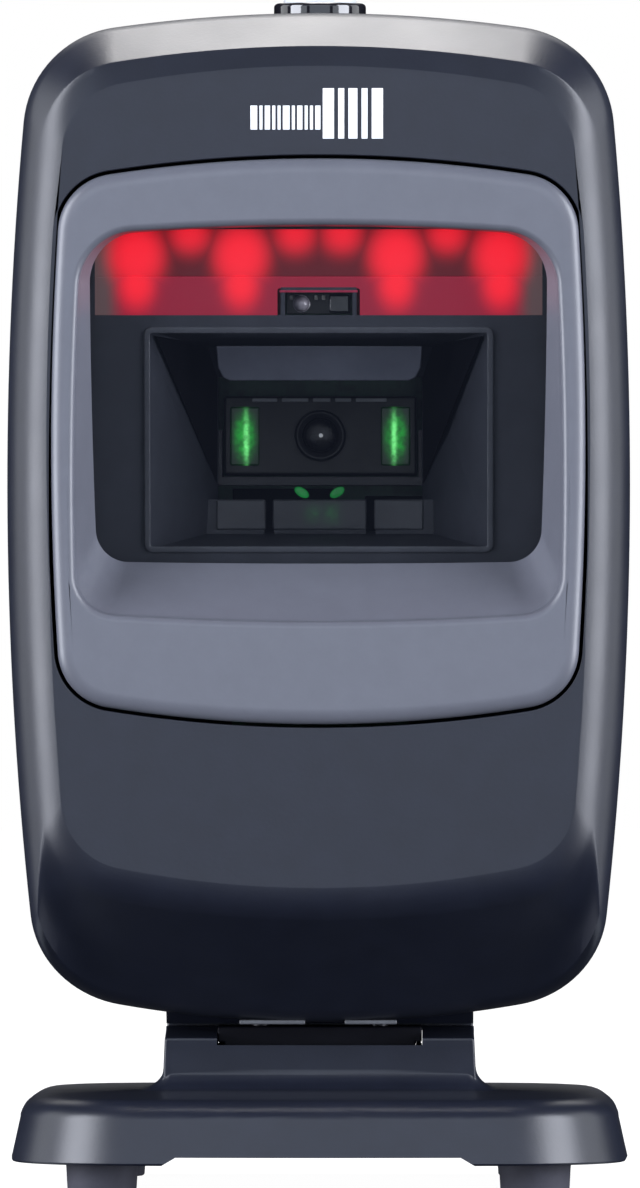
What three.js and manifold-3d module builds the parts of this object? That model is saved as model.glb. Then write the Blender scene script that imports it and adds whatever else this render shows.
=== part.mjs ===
// Hands-free barcode scanner: a tall two-shell head with a deep scan window,
// tilting on a hinged neck above a weighted base with rubber feet.
// Millimetres, +Z up, the window faces -Y. The origin is on the resting plane, under the middle of the base.
import * as THREE from "three";
import { mergeVertices } from "three/addons/utils/BufferGeometryUtils.js";
import Module from "manifold-3d";

const wasm = await Module();
wasm.setup();

// ---------------------------------------------------------------- driving dimensions

const GAP = 0.3; // between faces that touch on the real thing
const WALL = 2.2;

const HEAD = {
  halfWidth: 41.5, top: 157.1, bottom: 22.2, widest: 94.4, front: -33.5, back: 26, seam: -10,
  sideR: 535, topR: 195, bottomR: 155, topCorner: 14, bottomCorner: 14,
};
const FRONT_EDGE = { width: 5.95, depth: 8.5, rise: 5.6, run: 6.5 }; // rolled sides, chamfered top
const BACK_EDGE = { start: 9, width: 11, drop: 15, lift: 22 };
const CHIN = { z: 40.9, radius: 6, turn: 50, footRadius: 8.5 };
const INNER_SHIFT = 1.2; // how much later the inside of the shell follows the outside

const BEZEL = {
  halfWidth: 35.5, top: 137.5, bottom: 62.35, widest: 100, front: -34.3, back: -31.9,
  sideR: 445, topR: 183, bottomR: 177, topCorner: 8, bottomCorner: 7.9,
};
const BEZEL_GAP = 0.45;
const BEZEL_WALL = 1.6;
const HOOK = { x: 18, halfWidth: 4, reach: 1.7, back: -29.6 };
const LIP = {
  halfWidth: 32.6, top: 128.4, bottom: 76.05, widest: 95,
  sideR: 500, topR: 590, bottomR: 412, topCorner: 5.3, bottomCorner: 5.3,
};
const WINDOW = {
  halfWidth: 30.4, top: 128.4, bottom: 83.8, widest: 125, topY: -31.8, bottomY: -24.4,
  sideR: 1000, topR: 590, bottomR: 1500, topCorner: 4.6, bottomCorner: 3.6,
};
const PANE = { from: 0.3, to: 1.8, grow: 1.2 }; // from and to: behind the slanted window plane
const SEAL = { from: 2.1, to: 3.1 };
const PLATE = { from: 3.4, to: 4.6, halfWidth: 33, top: 130.6, bottom: 81.4 };

const BAND = { halfWidth: 29.8, top: 128.2, bottom: 116.8, back: -21.5 }; // the lit strip
const NOTCH = { halfWidth: 5.05, top: 120.5, wall: 0.55 }; // presence sensor in the strip's lower edge
const MAIN_LED = { x: [-24.2, -10.35, 10.35, 24.2], z: 123.8, radius: 1.9 };
const FILL_LED = { x: [-17.1, -3.1, 3.1, 17.1], z: 126.4, radius: 1 };
const LED_BOARD = { front: -21.1, back: -19.5 };

const MOUTH = { halfWidth: 22.9, top: 114.8, bottom: 85.6 }; // of the tapering tunnel
const TUNNEL_END = { halfWidth: 13.8, top: 112.6, bottom: 88.2, y: 3 };
const TUNNEL_WALL = 1.2;
const STEP = { top: 92.4, front: -1, inner: 6.2, outer: 7.5 }; // three blocks on the tunnel floor
const ENGINE = { halfWidth: 13, bottom: 95.8, top: 106.4, front: 4.9, back: 16, lensZ: 101.1 };
const LENS = { barrelRadius: 3.4, radius: 2.2, front: 3.4 };
const AIMER = { x: 10.2, halfWidth: 2, halfHeight: 4, z: 101 };

const KEY = { halfWidth: 4.9, straight: 1, bottom: 157.2, top: 160.8, stem: 1.5, stemEnd: 154.6 };
const KEY_RING = { inner: 5.2, collar: 5.55, hole: 5.85, flange: 6.2, bottom: 155.6, top: 159.3 };
const SOUND_SLOT = { x: [17.8, 21, 24.2], y: -19.5, halfWidth: 0.65, halfLength: 4.5 };
const KEY_BOARD_TOP = 150.4;

const POST = { x: 26, z: [56, 143], radius: 3.2, wellRadius: 4.6, well: 3.1, shoulder: -5 };
const SCREW = { shank: 1.3, head: 2.7, headHeight: 1.8, hole: 1.9, pilot: 1.6 };
const JACK = { halfWidth: 7.5, halfHeight: 6.2, z: 62.2, front: 9.4, back: 23.4, depth: 11.4 };
const JACK_MOUTH = { halfWidth: 5.9, halfHeight: 3.5 };

const BASE = {
  halfWidth: 41.3, top: 40.3, bottom: -40.3, widest: 0,
  sideR: 520, topR: 240, bottomR: 240, topCorner: 18, bottomCorner: 18,
};
const SKIRT = { bottom: 3.9, draft: 1.2, shoulder: 9.4, rise: 3.2, round: 4.2, top: 13 };
const ARCH = { halfWidth: 18.9, foot: 20.8, rise: 1.1 }; // raised middle of the skirt's lower edge
const FLOOR_PLATE = { bottom: 5.2, top: 7.4, inset: 3.5 };
const BALLAST = { halfWidth: 30, halfDepth: 26, bottom: 7.7, top: 9.8, slotX: 15, slotY: 9 };
const FOOT = { x: 28.8, y: 29, top: 4.85, tip: 4.6, height: 4.9 };
const BASE_SCREW = { x: 20, y: 31, post: 3.2, head: 1.1 };

const HINGE = { z: 14.2, pin: 2, pinHalf: 19.1, bore: 2.06, bush: 3.2, seat: 3.4, seatEnd: 19.4 };
const NECK = {
  halfWidth: 20.8, slot: 13.8, front: -9.5, wallBack: -7.3, frontTop: 20.1, slotTop: 19,
  radius: 7.2, split: 1, capBottom: 13.4,
};
const NECK_FOOT = {
  halfWidth: 20.8, top: 7.2, bottom: -9.5, widest: -1,
  sideR: 900, topR: 900, bottomR: 900, topCorner: 1.2, bottomCorner: 1.2,
};
const NECK_FILLET = 2.6;
const KNUCKLE = { halfWidth: 12.9, radius: 6.2, halfDepth: 5.6, top: 21.4 };
const HEAD_BOSS = { halfWidth: 20.7, front: -5, back: 6, bottom: 21.7, top: 24.2 }; // pad under the head
const BLOCK_SCREW_X = 8;
const WASHER = { from: 13.1, to: 13.6, radius: 5 };

const ROUND = 20; // sides of a small round piece
const RING_STEPS = { cap: 2, corner: 4, side: 4 }; // points along each arc of half an outline

// ---------------------------------------------------------------- materials

const finish = (color, roughness, metalness = 0) =>
  new THREE.MeshStandardMaterial({ color, roughness, metalness });
const lit = (color) =>
  new THREE.MeshStandardMaterial({ color, emissive: color, roughness: 0.2, metalness: 0 });

const MAT = {
  housing: finish(0x33353f, 0.42),
  bezel: finish(0x787c88, 0.4),
  pane: finish(0x20242c, 0.05),
  foam: finish(0x111214, 0.95),
  chassis: finish(0x1a1c22, 0.6),
  diffuser: lit(0xd02038),
  redLed: lit(0xff2030),
  greenLens: lit(0x30c050),
  clear: finish(0xd8d4dc, 0.1),
  darkGlass: finish(0x0a0d18, 0.04),
  board: finish(0x1c5a38, 0.5),
  steel: finish(0xa8abb0, 0.25, 1),
  screw: finish(0x2a2c30, 0.4, 1),
  nylon: finish(0xe6e4dc, 0.5),
  rubber: finish(0x202126, 0.85),
  ballast: finish(0x8a8c8e, 0.55, 1),
  gloss: finish(0x141518, 0.12),
  key: finish(0xd9dade, 0.3),
};

// ---------------------------------------------------------------- solids

// A closed geometry as a manifold-3d solid.
function solid(geometry) {
  const bare = geometry.clone();
  bare.deleteAttribute("normal");
  bare.deleteAttribute("uv");
  const merged = mergeVertices(bare, 1e-4);
  return new wasm.Manifold(new wasm.Mesh({
    numProp: 3,
    vertProperties: merged.attributes.position.array,
    triVerts: new Uint32Array(merged.index.array),
  }));
}

// A manifold-3d solid as a named mesh.
function piece(name, made, material) {
  const { vertProperties, triVerts } = made.getMesh();
  const geometry = new THREE.BufferGeometry();
  geometry.setAttribute("position", new THREE.BufferAttribute(new Float32Array(vertProperties), 3));
  geometry.setIndex(new THREE.BufferAttribute(new Uint32Array(triVerts), 1));
  const mesh = new THREE.Mesh(geometry, material);
  mesh.name = name;
  return mesh;
}

const join = (first, ...rest) => rest.reduce((a, b) => a.add(b), first);
const cut = (first, ...rest) => rest.reduce((a, b) => a.subtract(b), first);

// A box between its lowest and highest corners.
function block([x0, y0, z0], [x1, y1, z1]) {
  const geometry = new THREE.BoxGeometry(x1 - x0, y1 - y0, z1 - z0);
  return solid(geometry.translate((x0 + x1) / 2, (y0 + y1) / 2, (z0 + z1) / 2));
}

// A cylinder, or a cone when the radius changes, along an axis through a point.
function rod(axis, from, to, radius, [x, y, z], endRadius = radius, sides = ROUND) {
  const geometry = new THREE.CylinderGeometry(endRadius, radius, to - from, sides);
  geometry.translate(0, (from + to) / 2, 0);
  if (axis === "x") geometry.rotateZ(-Math.PI / 2);
  if (axis === "z") geometry.rotateX(Math.PI / 2);
  return solid(geometry.translate(x, y, z));
}

// A flat outline pushed along an axis: (y, z) points along x, (x, z) points along y, (x, y) points along z.
function prism(axis, points, from, to) {
  const shape = new THREE.Shape(points.map(([a, b]) => new THREE.Vector2(a, b)));
  const geometry = new THREE.ExtrudeGeometry(shape, { depth: to - from, bevelEnabled: false });
  if (axis === "x") geometry.rotateX(Math.PI / 2).rotateZ(Math.PI / 2).translate(from, 0, 0);
  if (axis === "y") geometry.rotateX(Math.PI / 2).translate(0, to, 0);
  if (axis === "z") geometry.translate(0, 0, from);
  return solid(geometry);
}

// A skin through rings of equally many points, closed flat at both ends.
function loft(rings) {
  const count = rings[0].length;
  const vertices = rings.flat(2);
  const triangles = [];
  const next = (i) => (i + 1) % count;
  for (let k = 0; k + 1 < rings.length; k++) {
    const a = k * count;
    const b = a + count;
    for (let i = 0; i < count; i++) {
      triangles.push(a + i, a + next(i), b + next(i), a + i, b + next(i), b + i);
    }
  }
  [0, rings.length - 1].forEach((k) => {
    const centre = vertices.length / 3;
    const first = k * count;
    vertices.push(...[0, 1, 2].map((j) => rings[k].reduce((sum, p) => sum + p[j], 0) / count));
    for (let i = 0; i < count; i++) {
      triangles.push(...(k ? [first + i, first + next(i), centre] : [first + next(i), first + i, centre]));
    }
  });
  const geometry = new THREE.BufferGeometry();
  geometry.setAttribute("position", new THREE.Float32BufferAttribute(vertices, 3));
  const made = solid(geometry.setIndex(triangles));
  return made.volume() > 0 ? made : solid(geometry.setIndex(triangles.reverse()));
}

// ---------------------------------------------------------------- outlines and rings

// Points along an arc, without its last one.
function arc([x, z], radius, from, to, steps) {
  return Array.from({ length: steps }, (_, i) => {
    const angle = from + ((to - from) * i) / steps;
    return [x + radius * Math.cos(angle), z + radius * Math.sin(angle)];
  });
}

// Where a corner circle lies inside both the side's circle and the cap's circle: up is 1 or -1.
function cornerCircle(side, cap, radius, up) {
  const [dx, dz] = [cap.x - side.x, cap.z - side.z];
  const apart = Math.hypot(dx, dz);
  const [rs, rc] = [side.r - radius, cap.r - radius];
  const along = (rs ** 2 - rc ** 2 + apart ** 2) / (2 * apart);
  const across = Math.sqrt(rs ** 2 - along ** 2) * up;
  const x = side.x + (dx * along - dz * across) / apart;
  const z = side.z + (dz * along + dx * across) / apart;
  return {
    centre: [x, z], radius,
    onSide: Math.atan2(z - side.z, x - side.x),
    onCap: Math.atan2(z - cap.z, x - cap.x),
  };
}

// A barrel outline: bowed sides, crowned top and bottom, round corners. Clockwise from the middle of
// the top; grow moves it outwards all round.
function barrel(shape, grow = 0) {
  const side = { x: shape.halfWidth - shape.sideR, z: shape.widest, r: shape.sideR + grow };
  const top = { x: 0, z: shape.top - shape.topR, r: shape.topR + grow };
  const bottom = { x: 0, z: shape.bottom + shape.bottomR, r: shape.bottomR + grow };
  const high = cornerCircle(side, top, Math.max(shape.topCorner + grow, 0.2), 1);
  const low = cornerCircle(side, bottom, Math.max(shape.bottomCorner + grow, 0.2), -1);
  const right = [
    ...arc([0, top.z], top.r, Math.PI / 2, high.onCap, RING_STEPS.cap),
    ...arc(high.centre, high.radius, high.onCap, high.onSide, RING_STEPS.corner),
    ...arc([side.x, side.z], side.r, high.onSide, low.onSide, RING_STEPS.side),
    ...arc(low.centre, low.radius, low.onSide, low.onCap, RING_STEPS.corner),
    ...arc([0, bottom.z], bottom.r, low.onCap, -Math.PI / 2, RING_STEPS.cap),
  ];
  const left = right.slice(1).reverse().map(([x, z]) => [-x, z]);
  return [...right, [0, shape.bottom - grow], ...left];
}

// A rectangle outline with the same left and right, grown all round.
function rectangle({ halfWidth, top, bottom }, grow = 0) {
  const [x, high, low] = [halfWidth + grow, top + grow, bottom - grow];
  return [[-x, low], [x, low], [x, high], [-x, high]];
}

// Two half circles joined by straight sides, long in y.
function stadium(radius) {
  const end = (y, from) => arc([0, y], radius, from, from + Math.PI, 9).concat([
    [radius * Math.cos(from + Math.PI), y + radius * Math.sin(from + Math.PI)],
  ]);
  return [...end(KEY.straight, 0), ...end(-KEY.straight, Math.PI)];
}

const windowY = (z) =>
  WINDOW.topY + ((WINDOW.bottomY - WINDOW.topY) * (WINDOW.top - z)) / (WINDOW.top - WINDOW.bottom);
const atY = (outline, y) => outline.map(([x, z]) => [x, y, z]);
const atZ = (outline, z) => outline.map(([x, y]) => [x, y, z]);
const behindWindow = (outline, back) => outline.map(([x, z]) => [x, windowY(z) + back, z]);
const slantedSlab = (outline, from, to) => loft([behindWindow(outline, from), behindWindow(outline, to)]);

// A box whose front leans with the window and whose back is upright.
const leaningBox = (halfWidth, low, high, behind, backY) => prism("x", [
  [windowY(low) + behind, low], [backY, low], [backY, high], [windowY(high) + behind, high],
], -halfWidth, halfWidth);

const LEFT_RIGHT = [["left", -1], ["right", 1]];
const CORNERS = [[-1, -1], [1, -1], [-1, 1], [1, 1]];

// ---------------------------------------------------------------- head shells

const rad = THREE.MathUtils.degToRad;
const chinTurn = rad(CHIN.turn);
const chinSlopeStart = {
  y: HEAD.front + CHIN.radius * (1 - Math.cos(chinTurn)),
  z: CHIN.z - CHIN.radius * Math.sin(chinTurn),
};
const chinSlopeEnd = HEAD.bottom + CHIN.footRadius * (1 - Math.sin(chinTurn));
const chinRun = (chinSlopeStart.z - chinSlopeEnd) * Math.tan(chinTurn);
const chinFootStart = chinSlopeStart.y + chinRun;
const chinFootEnd = chinFootStart + CHIN.footRadius * Math.cos(chinTurn);

// Height of the head's underside along the middle: round edge, straight chin, round foot, level floor.
function undersideZ(y) {
  if (y <= chinSlopeStart.y) {
    const across = Math.min(HEAD.front + CHIN.radius - y, CHIN.radius);
    return CHIN.z - Math.sqrt(CHIN.radius ** 2 - across ** 2);
  }
  if (y <= chinFootStart) return chinSlopeStart.z - (y - chinSlopeStart.y) / Math.tan(chinTurn);
  if (y < chinFootEnd) {
    return HEAD.bottom + CHIN.footRadius - Math.sqrt(CHIN.footRadius ** 2 - (chinFootEnd - y) ** 2);
  }
  return HEAD.bottom;
}

// The head's section at a depth y, as a barrel shape.
function headShape(y) {
  const forward = Math.max(0, 1 - (y - HEAD.front) / FRONT_EDGE.depth);
  const rolled = FRONT_EDGE.width * (1 - Math.sqrt(1 - Math.min(forward, 1) ** 2));
  const chamfer = FRONT_EDGE.rise * Math.max(0, 1 - (y - HEAD.front) / FRONT_EDGE.run);
  const behind = Math.max(0, (y - BACK_EDGE.start) / (HEAD.back - BACK_EDGE.start));
  const rounded = 1 - Math.sqrt(1 - Math.min(behind, 1) ** 2);
  return {
    ...HEAD,
    halfWidth: HEAD.halfWidth - rolled - BACK_EDGE.width * rounded,
    top: HEAD.top - chamfer - BACK_EDGE.drop * rounded,
    bottom: undersideZ(y) + BACK_EDGE.lift * rounded,
    topCorner: HEAD.topCorner - 0.9 * rolled,
    bottomCorner: HEAD.bottomCorner - 0.9 * rolled,
  };
}

const headSkin = (stations) => loft(stations.map((y) => atY(barrel(headShape(y)), y)));
const headHollow = (stations, shift) =>
  loft(stations.map((y) => atY(barrel(headShape(y + shift), -WALL), y)));

const edgeStations = [0, 18, 36, 54, 72, 90].map(
  (angle) => HEAD.front + FRONT_EDGE.depth * (1 - Math.cos(rad(angle))),
);
const chinStations = [chinFootStart, (chinFootStart + chinFootEnd) / 2];
const backStations = [0, 25, 45, 65, 90].map(
  (angle) => BACK_EDGE.start + (HEAD.back - BACK_EDGE.start) * Math.sin(rad(angle)),
);

const postPlaces = POST.z.flatMap((z) => [-POST.x, POST.x].map((x) => [x, 0, z]));

function frontHousing() {
  const seam = HEAD.seam - GAP / 2;
  const inside = HEAD.front + WALL;
  const skin = headSkin([...edgeStations, ...chinStations, seam]);
  const hollow = headHollow([inside, inside + 2, inside + 6, ...chinStations, seam + 1], -INNER_SHIFT);
  const opening = prism("y", barrel(BEZEL, BEZEL_GAP), HEAD.front - 1, inside + 1);
  const posts = postPlaces.map((at) => rod("y", inside - 0.5, seam, POST.radius, at));
  const pilots = postPlaces.map((at) => rod("y", -22, 0, SCREW.pilot, at));
  const slots = SOUND_SLOT.x.map((x) => block(
    [x - SOUND_SLOT.halfWidth, SOUND_SLOT.y - SOUND_SLOT.halfLength, 150],
    [x + SOUND_SLOT.halfWidth, SOUND_SLOT.y + SOUND_SLOT.halfLength, 160],
  ));
  return cut(join(cut(skin, hollow), ...posts), opening, ...pilots, ...slots);
}

function rearHousing() {
  const seam = HEAD.seam + GAP / 2;
  const inside = HEAD.back - WALL;
  const skin = headSkin([seam, ...backStations]);
  const hollow = headHollow([seam - 1, BACK_EDGE.start, 14, 19, 22, inside], INNER_SHIFT);
  const wells = postPlaces.map((at) => rod("y", seam, HEAD.back, POST.wellRadius, at).intersect(skin));
  const holes = postPlaces.flatMap((at) => [
    rod("y", seam - 1, HEAD.back, SCREW.hole, at),
    rod("y", POST.shoulder, HEAD.back + 1, POST.well, at),
  ]);
  const socket = block(
    [-JACK_MOUTH.halfWidth - 0.3, 20, JACK.z - JACK_MOUTH.halfHeight - 0.3],
    [JACK_MOUTH.halfWidth + 0.3, HEAD.back + 1, JACK.z + JACK_MOUTH.halfHeight + 0.3],
  );
  const keyHole = prism("z", stadium(KEY_RING.hole), 150, 160);
  const floorHoles = [-1, 1].map((s) => rod("z", 20, 26, SCREW.hole, [s * BLOCK_SCREW_X, 0, 0]));
  const boss = block(
    [-HEAD_BOSS.halfWidth, HEAD_BOSS.front, HEAD_BOSS.bottom],
    [HEAD_BOSS.halfWidth, HEAD_BOSS.back, HEAD_BOSS.top],
  );
  return cut(join(cut(skin, hollow), ...wells, boss), ...holes, socket, keyHole, ...floorHoles);
}

// ---------------------------------------------------------------- window

function windowBezel() {
  const plate = loft([
    atY(barrel(BEZEL, -1), BEZEL.front),
    atY(barrel(BEZEL, -0.3), BEZEL.front + 0.3),
    atY(barrel(BEZEL), BEZEL.front + 1),
    atY(barrel(BEZEL), BEZEL.back),
  ]);
  const funnel = loft([
    atY(barrel(LIP, BEZEL_WALL), BEZEL.back - 0.5),
    behindWindow(barrel(WINDOW, BEZEL_WALL), 0),
  ]);
  const hollow = loft([
    atY(barrel(LIP), BEZEL.front - 1),
    atY(barrel(LIP), BEZEL.front),
    behindWindow(barrel(WINDOW), 0),
    behindWindow(barrel(WINDOW), 1),
  ]);
  const hooks = [-1, 1].flatMap((side) => [[BEZEL.top - 2.6, 1], [BEZEL.bottom + 2.6, -1]].map(([z, up]) => {
    const profile = [[-33, z - up], [-33, z + up], [-31, z + up], [-31, z + up * (2.6 + HOOK.reach)]];
    const end = [[HOOK.back, z + up * (2.6 + HOOK.reach)], [HOOK.back, z - up]];
    const x = side * HOOK.x;
    return prism("x", [...profile, ...end], x - HOOK.halfWidth, x + HOOK.halfWidth);
  }));
  return cut(join(plate, funnel, ...hooks), hollow);
}

const scanWindow = () => slantedSlab(barrel(WINDOW, PANE.grow), PANE.from, PANE.to);

const windowGasket = () => cut(
  slantedSlab(barrel(WINDOW, PANE.grow), SEAL.from, SEAL.to),
  slantedSlab(barrel(WINDOW, 0.2), SEAL.from - 1, SEAL.to + 1),
);

// ---------------------------------------------------------------- optics

function opticalChassis() {
  const plate = slantedSlab(rectangle(PLATE), PLATE.from, PLATE.to);
  const tunnel = loft([
    behindWindow(rectangle(MOUTH, TUNNEL_WALL), PLATE.from + 0.5),
    atY(rectangle(TUNNEL_END, TUNNEL_WALL), TUNNEL_END.y),
  ]);
  const backPlate = block([-17, TUNNEL_END.y - 0.5, 85.5], [17, TUNNEL_END.y + 1.3, 115]);
  const boxWall = TUNNEL_WALL;
  const lightBox = leaningBox(
    BAND.halfWidth + boxWall, BAND.bottom - boxWall, BAND.top + boxWall, PLATE.from + 0.5, BAND.back,
  );
  const band = block(
    [-BAND.halfWidth, -40, BAND.bottom],
    [BAND.halfWidth, BAND.back + 1, BAND.top],
  );
  const bore = loft([
    behindWindow(rectangle(MOUTH), PLATE.from - 1),
    behindWindow(rectangle(MOUTH), PLATE.from),
    atY(rectangle(TUNNEL_END), TUNNEL_END.y),
    atY(rectangle(TUNNEL_END), TUNNEL_END.y + 3),
  ]);
  const steps = [[-STEP.inner, STEP.inner], [STEP.outer, 15.6], [-15.6, -STEP.outer]].map(
    ([x0, x1]) => block([x0, STEP.front, 86.4], [x1, TUNNEL_END.y + 1.3, STEP.top]),
  );
  const baffle = prism("x", [[-4, 114.6], [3.5, 114.6], [3.5, 109], [2.3, 109]], -15.4, 15.4);
  const pocket = NOTCH.halfWidth - NOTCH.wall;
  const sensorFrame = cut(
    leaningBox(NOTCH.halfWidth, BAND.bottom - 0.6, NOTCH.top, PLATE.from, BAND.back),
    block([-pocket, -30, BAND.bottom], [pocket, BAND.back + 1, NOTCH.top - NOTCH.wall]),
  );
  return join(cut(join(plate, tunnel, backPlate, lightBox), band, bore), ...steps, baffle, sensorFrame);
}

function lightDiffuser() {
  const [x, low, high] = [BAND.halfWidth - GAP, BAND.bottom + GAP, BAND.top - GAP];
  const [nx, nz] = [NOTCH.halfWidth + GAP, NOTCH.top + GAP];
  const notch = block([-nx, -40, low - 2], [nx, -10, nz]);
  return cut(slantedSlab([[-x, low], [x, low], [x, high], [-x, high]], PLATE.from, PLATE.to), notch);
}

const ledBoard = () => block(
  [-BAND.halfWidth - 0.8, LED_BOARD.front, BAND.bottom - 0.4],
  [BAND.halfWidth + 0.8, LED_BOARD.back, BAND.top + 0.8],
);

// A small domed lamp facing -Y, standing on the light board.
function lamp(radius, x, z) {
  const dome = radius * 0.8;
  const bend = [0, 30, 60].map((a) => [dome * Math.cos(rad(a)), 0.7 + dome * Math.sin(rad(a))]);
  const profile = [[0, 0], [radius, 0], [radius, 0.7], ...bend, [0, 0.7 + dome]];
  const geometry = new THREE.LatheGeometry(profile.map(([r, h]) => new THREE.Vector2(r, h)), 12);
  return solid(geometry.rotateX(Math.PI).translate(x, LED_BOARD.front - GAP, z));
}

function presenceSensor() {
  const pocket = NOTCH.halfWidth - NOTCH.wall - GAP;
  const board = block([-pocket, -22.8, BAND.bottom + GAP], [pocket, -21.8, NOTCH.top - NOTCH.wall - GAP]);
  const middle = (BAND.bottom + NOTCH.top - NOTCH.wall) / 2;
  return [
    piece("sensor_board", board, MAT.board),
    piece("ir_emitter", rod("y", -25, -23.1, 0.7, [-2.3, 0, middle], 1.15, 12), MAT.clear),
    piece("ir_receiver", block([1.4, -24.3, middle - 1.2], [4.1, -23.1, middle + 1.2]), MAT.darkGlass),
  ];
}

function cameraEngine() {
  const { halfWidth, bottom, top, front, back, lensZ } = ENGINE;
  const at = [0, 0, lensZ];
  const { barrelRadius, front: lensFront } = LENS;
  const body = cut(
    block([-halfWidth, front, bottom], [halfWidth, back, top]),
    rod("y", front - 1, 12, barrelRadius + GAP, at),
  );
  const lensBarrel = cut(
    rod("y", lensFront, 11.6, barrelRadius, at),
    rod("y", lensFront - 1, 9, LENS.radius + GAP, at),
  );
  const tray = cut(
    block([-halfWidth - 1.3, front, bottom - 1.4], [halfWidth + 1.3, back + 1, bottom + 6]),
    block([-halfWidth - GAP, front - 1, bottom - GAP], [halfWidth + GAP, back + 2, bottom + 8]),
  );
  const board = block([-12.5, back + 0.4, bottom + 0.2], [12.5, back + 1.4, 113]);
  return [
    piece("engine_bracket", tray, MAT.steel),
    piece("engine_body", body, MAT.chassis),
    piece("lens_barrel", lensBarrel, MAT.chassis),
    piece("camera_lens", rod("y", 4.2, 6, LENS.radius, at), MAT.darkGlass),
    piece("engine_board", board, MAT.board),
    ...LEFT_RIGHT.map(([side, s]) => piece(`aimer_lens_${side}`, block(
      [s * AIMER.x - AIMER.halfWidth, 3.7, AIMER.z - AIMER.halfHeight],
      [s * AIMER.x + AIMER.halfWidth, 4.6, AIMER.z + AIMER.halfHeight],
    ), MAT.greenLens)),
  ];
}

// ---------------------------------------------------------------- electronics, key and sounder

function cableSocket() {
  const { halfWidth, halfHeight, z, front, back, depth } = JACK;
  const { halfWidth: mx, halfHeight: mz } = JACK_MOUTH;
  return cut(
    block([-halfWidth, front, z - halfHeight], [halfWidth, back, z + halfHeight]),
    block([-mx, back - depth, z - mz], [mx, back + 1, z + mz]),
    block([-3, back - depth, z - mz - 1.6], [3, back + 1, z]),
  );
}

function electronics() {
  return [
    piece("main_board", block([-28, 18.8, 74], [28, 20.4, 126]), MAT.board),
    piece("socket_board", block([-12, 7.5, 50], [12, 9.1, 70.5]), MAT.board),
    piece("cable_socket", cableSocket(), MAT.chassis),
    piece("key_board", block([-9, -24.5, KEY_BOARD_TOP - 1.3], [27, 8, KEY_BOARD_TOP]), MAT.board),
    piece("tact_switch", block([-3, -3, KEY_BOARD_TOP + GAP], [3, 3, KEY_BOARD_TOP + 1.8]), MAT.steel),
    piece("beeper", block([16.5, -24, KEY_BOARD_TOP + GAP], [25.5, -15, KEY_BOARD_TOP + 2.4]), MAT.chassis),
  ];
}

function keyRing() {
  const { inner, collar, flange, bottom, top } = KEY_RING;
  return cut(
    join(
      prism("z", stadium(collar), bottom, HEAD.top + 0.5),
      loft([
        atZ(stadium(flange), HEAD.top + 0.15),
        atZ(stadium(flange), top - 0.5),
        atZ(stadium(flange - 0.5), top),
      ]),
    ),
    prism("z", stadium(inner), bottom - 1, top + 1),
  );
}

function touchKey() {
  const { halfWidth, bottom, top, stem, stemEnd } = KEY;
  const levels = [[0, 3.6], [0, 1.1], [0.3, 0.5], [1.1, 0.15], [2.4, 0]];
  const levelRings = levels.map(([inset, below]) => atZ(stadium(halfWidth - inset), top - below));
  return join(loft(levelRings), rod("z", stemEnd, bottom + 1, stem, [0, 0, 0], stem, 12));
}

// ---------------------------------------------------------------- hinge

function hingeBlock() {
  const { halfWidth, radius, halfDepth, top } = KNUCKLE;
  const at = [0, 0, HINGE.z];
  const upright = block([-halfWidth, -halfDepth, HINGE.z - 1], [halfWidth, halfDepth, top]);
  const screwHoles = [-1, 1].map((s) => rod("z", 17, 25, SCREW.pilot, [s * BLOCK_SCREW_X, 0, 0]));
  return cut(
    join(rod("x", -halfWidth, halfWidth, radius, at, radius, 28), upright),
    rod("x", -halfWidth - 1, halfWidth + 1, HINGE.bore, at),
    ...screwHoles,
  );
}

function hingePieces() {
  const at = [0, 0, HINGE.z];
  const { slot } = NECK;
  const mirrored = (s, from, to) => (s > 0 ? [from, to] : [-to, -from]);
  return [
    piece("hinge_pin", rod("x", -HINGE.pinHalf, HINGE.pinHalf, HINGE.pin, at), MAT.steel),
    ...LEFT_RIGHT.flatMap(([side, s]) => {
      const [bush0, bush1] = mirrored(s, slot + GAP, HINGE.seatEnd - 0.2);
      const [washer0, washer1] = mirrored(s, WASHER.from, WASHER.to);
      const bush = cut(
        rod("x", bush0, bush1, HINGE.bush, at),
        rod("x", bush0 - 1, bush1 + 1, HINGE.bore, at),
      );
      const washer = cut(
        rod("x", washer0, washer1, WASHER.radius, at),
        rod("x", washer0 - 1, washer1 + 1, HINGE.pin + GAP, at),
      );
      return [
        piece(`hinge_bush_${side}`, bush, MAT.nylon),
        piece(`friction_washer_${side}`, washer, MAT.nylon),
      ];
    }),
  ];
}

// ---------------------------------------------------------------- stand

// The ear's side profile: flat front, sloping top, then round about the hinge.
function neckProfile() {
  const back = Array.from({ length: 9 }, (_, i) => {
    const angle = rad(112 - 14 * i);
    return [NECK.radius * Math.cos(angle), HINGE.z + NECK.radius * Math.sin(angle)];
  });
  return [
    [NECK.radius, 11.5], [NECK.front, 11.5], [NECK.front, NECK.frontTop - 0.5],
    [NECK.front + 0.5, NECK.frontTop], ...back,
  ];
}

const baseRing = (inset, z) => atZ(barrel(BASE, -inset), z);

// Spaces in the neck: the knuckle's slot, the low front middle and the two bush seats.
function neckSpaces() {
  const { slot, front, wallBack, slotTop } = NECK;
  return [
    block([-slot, wallBack, 8], [slot, 6.9, 30]),
    block([-slot, wallBack, 13.2], [slot, 14, 30]),
    block([-slot, front - 2, slotTop], [slot, wallBack + 1, 30]),
    rod("x", -HINGE.seatEnd, HINGE.seatEnd, HINGE.seat, [0, 0, HINGE.z]),
  ];
}

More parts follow.
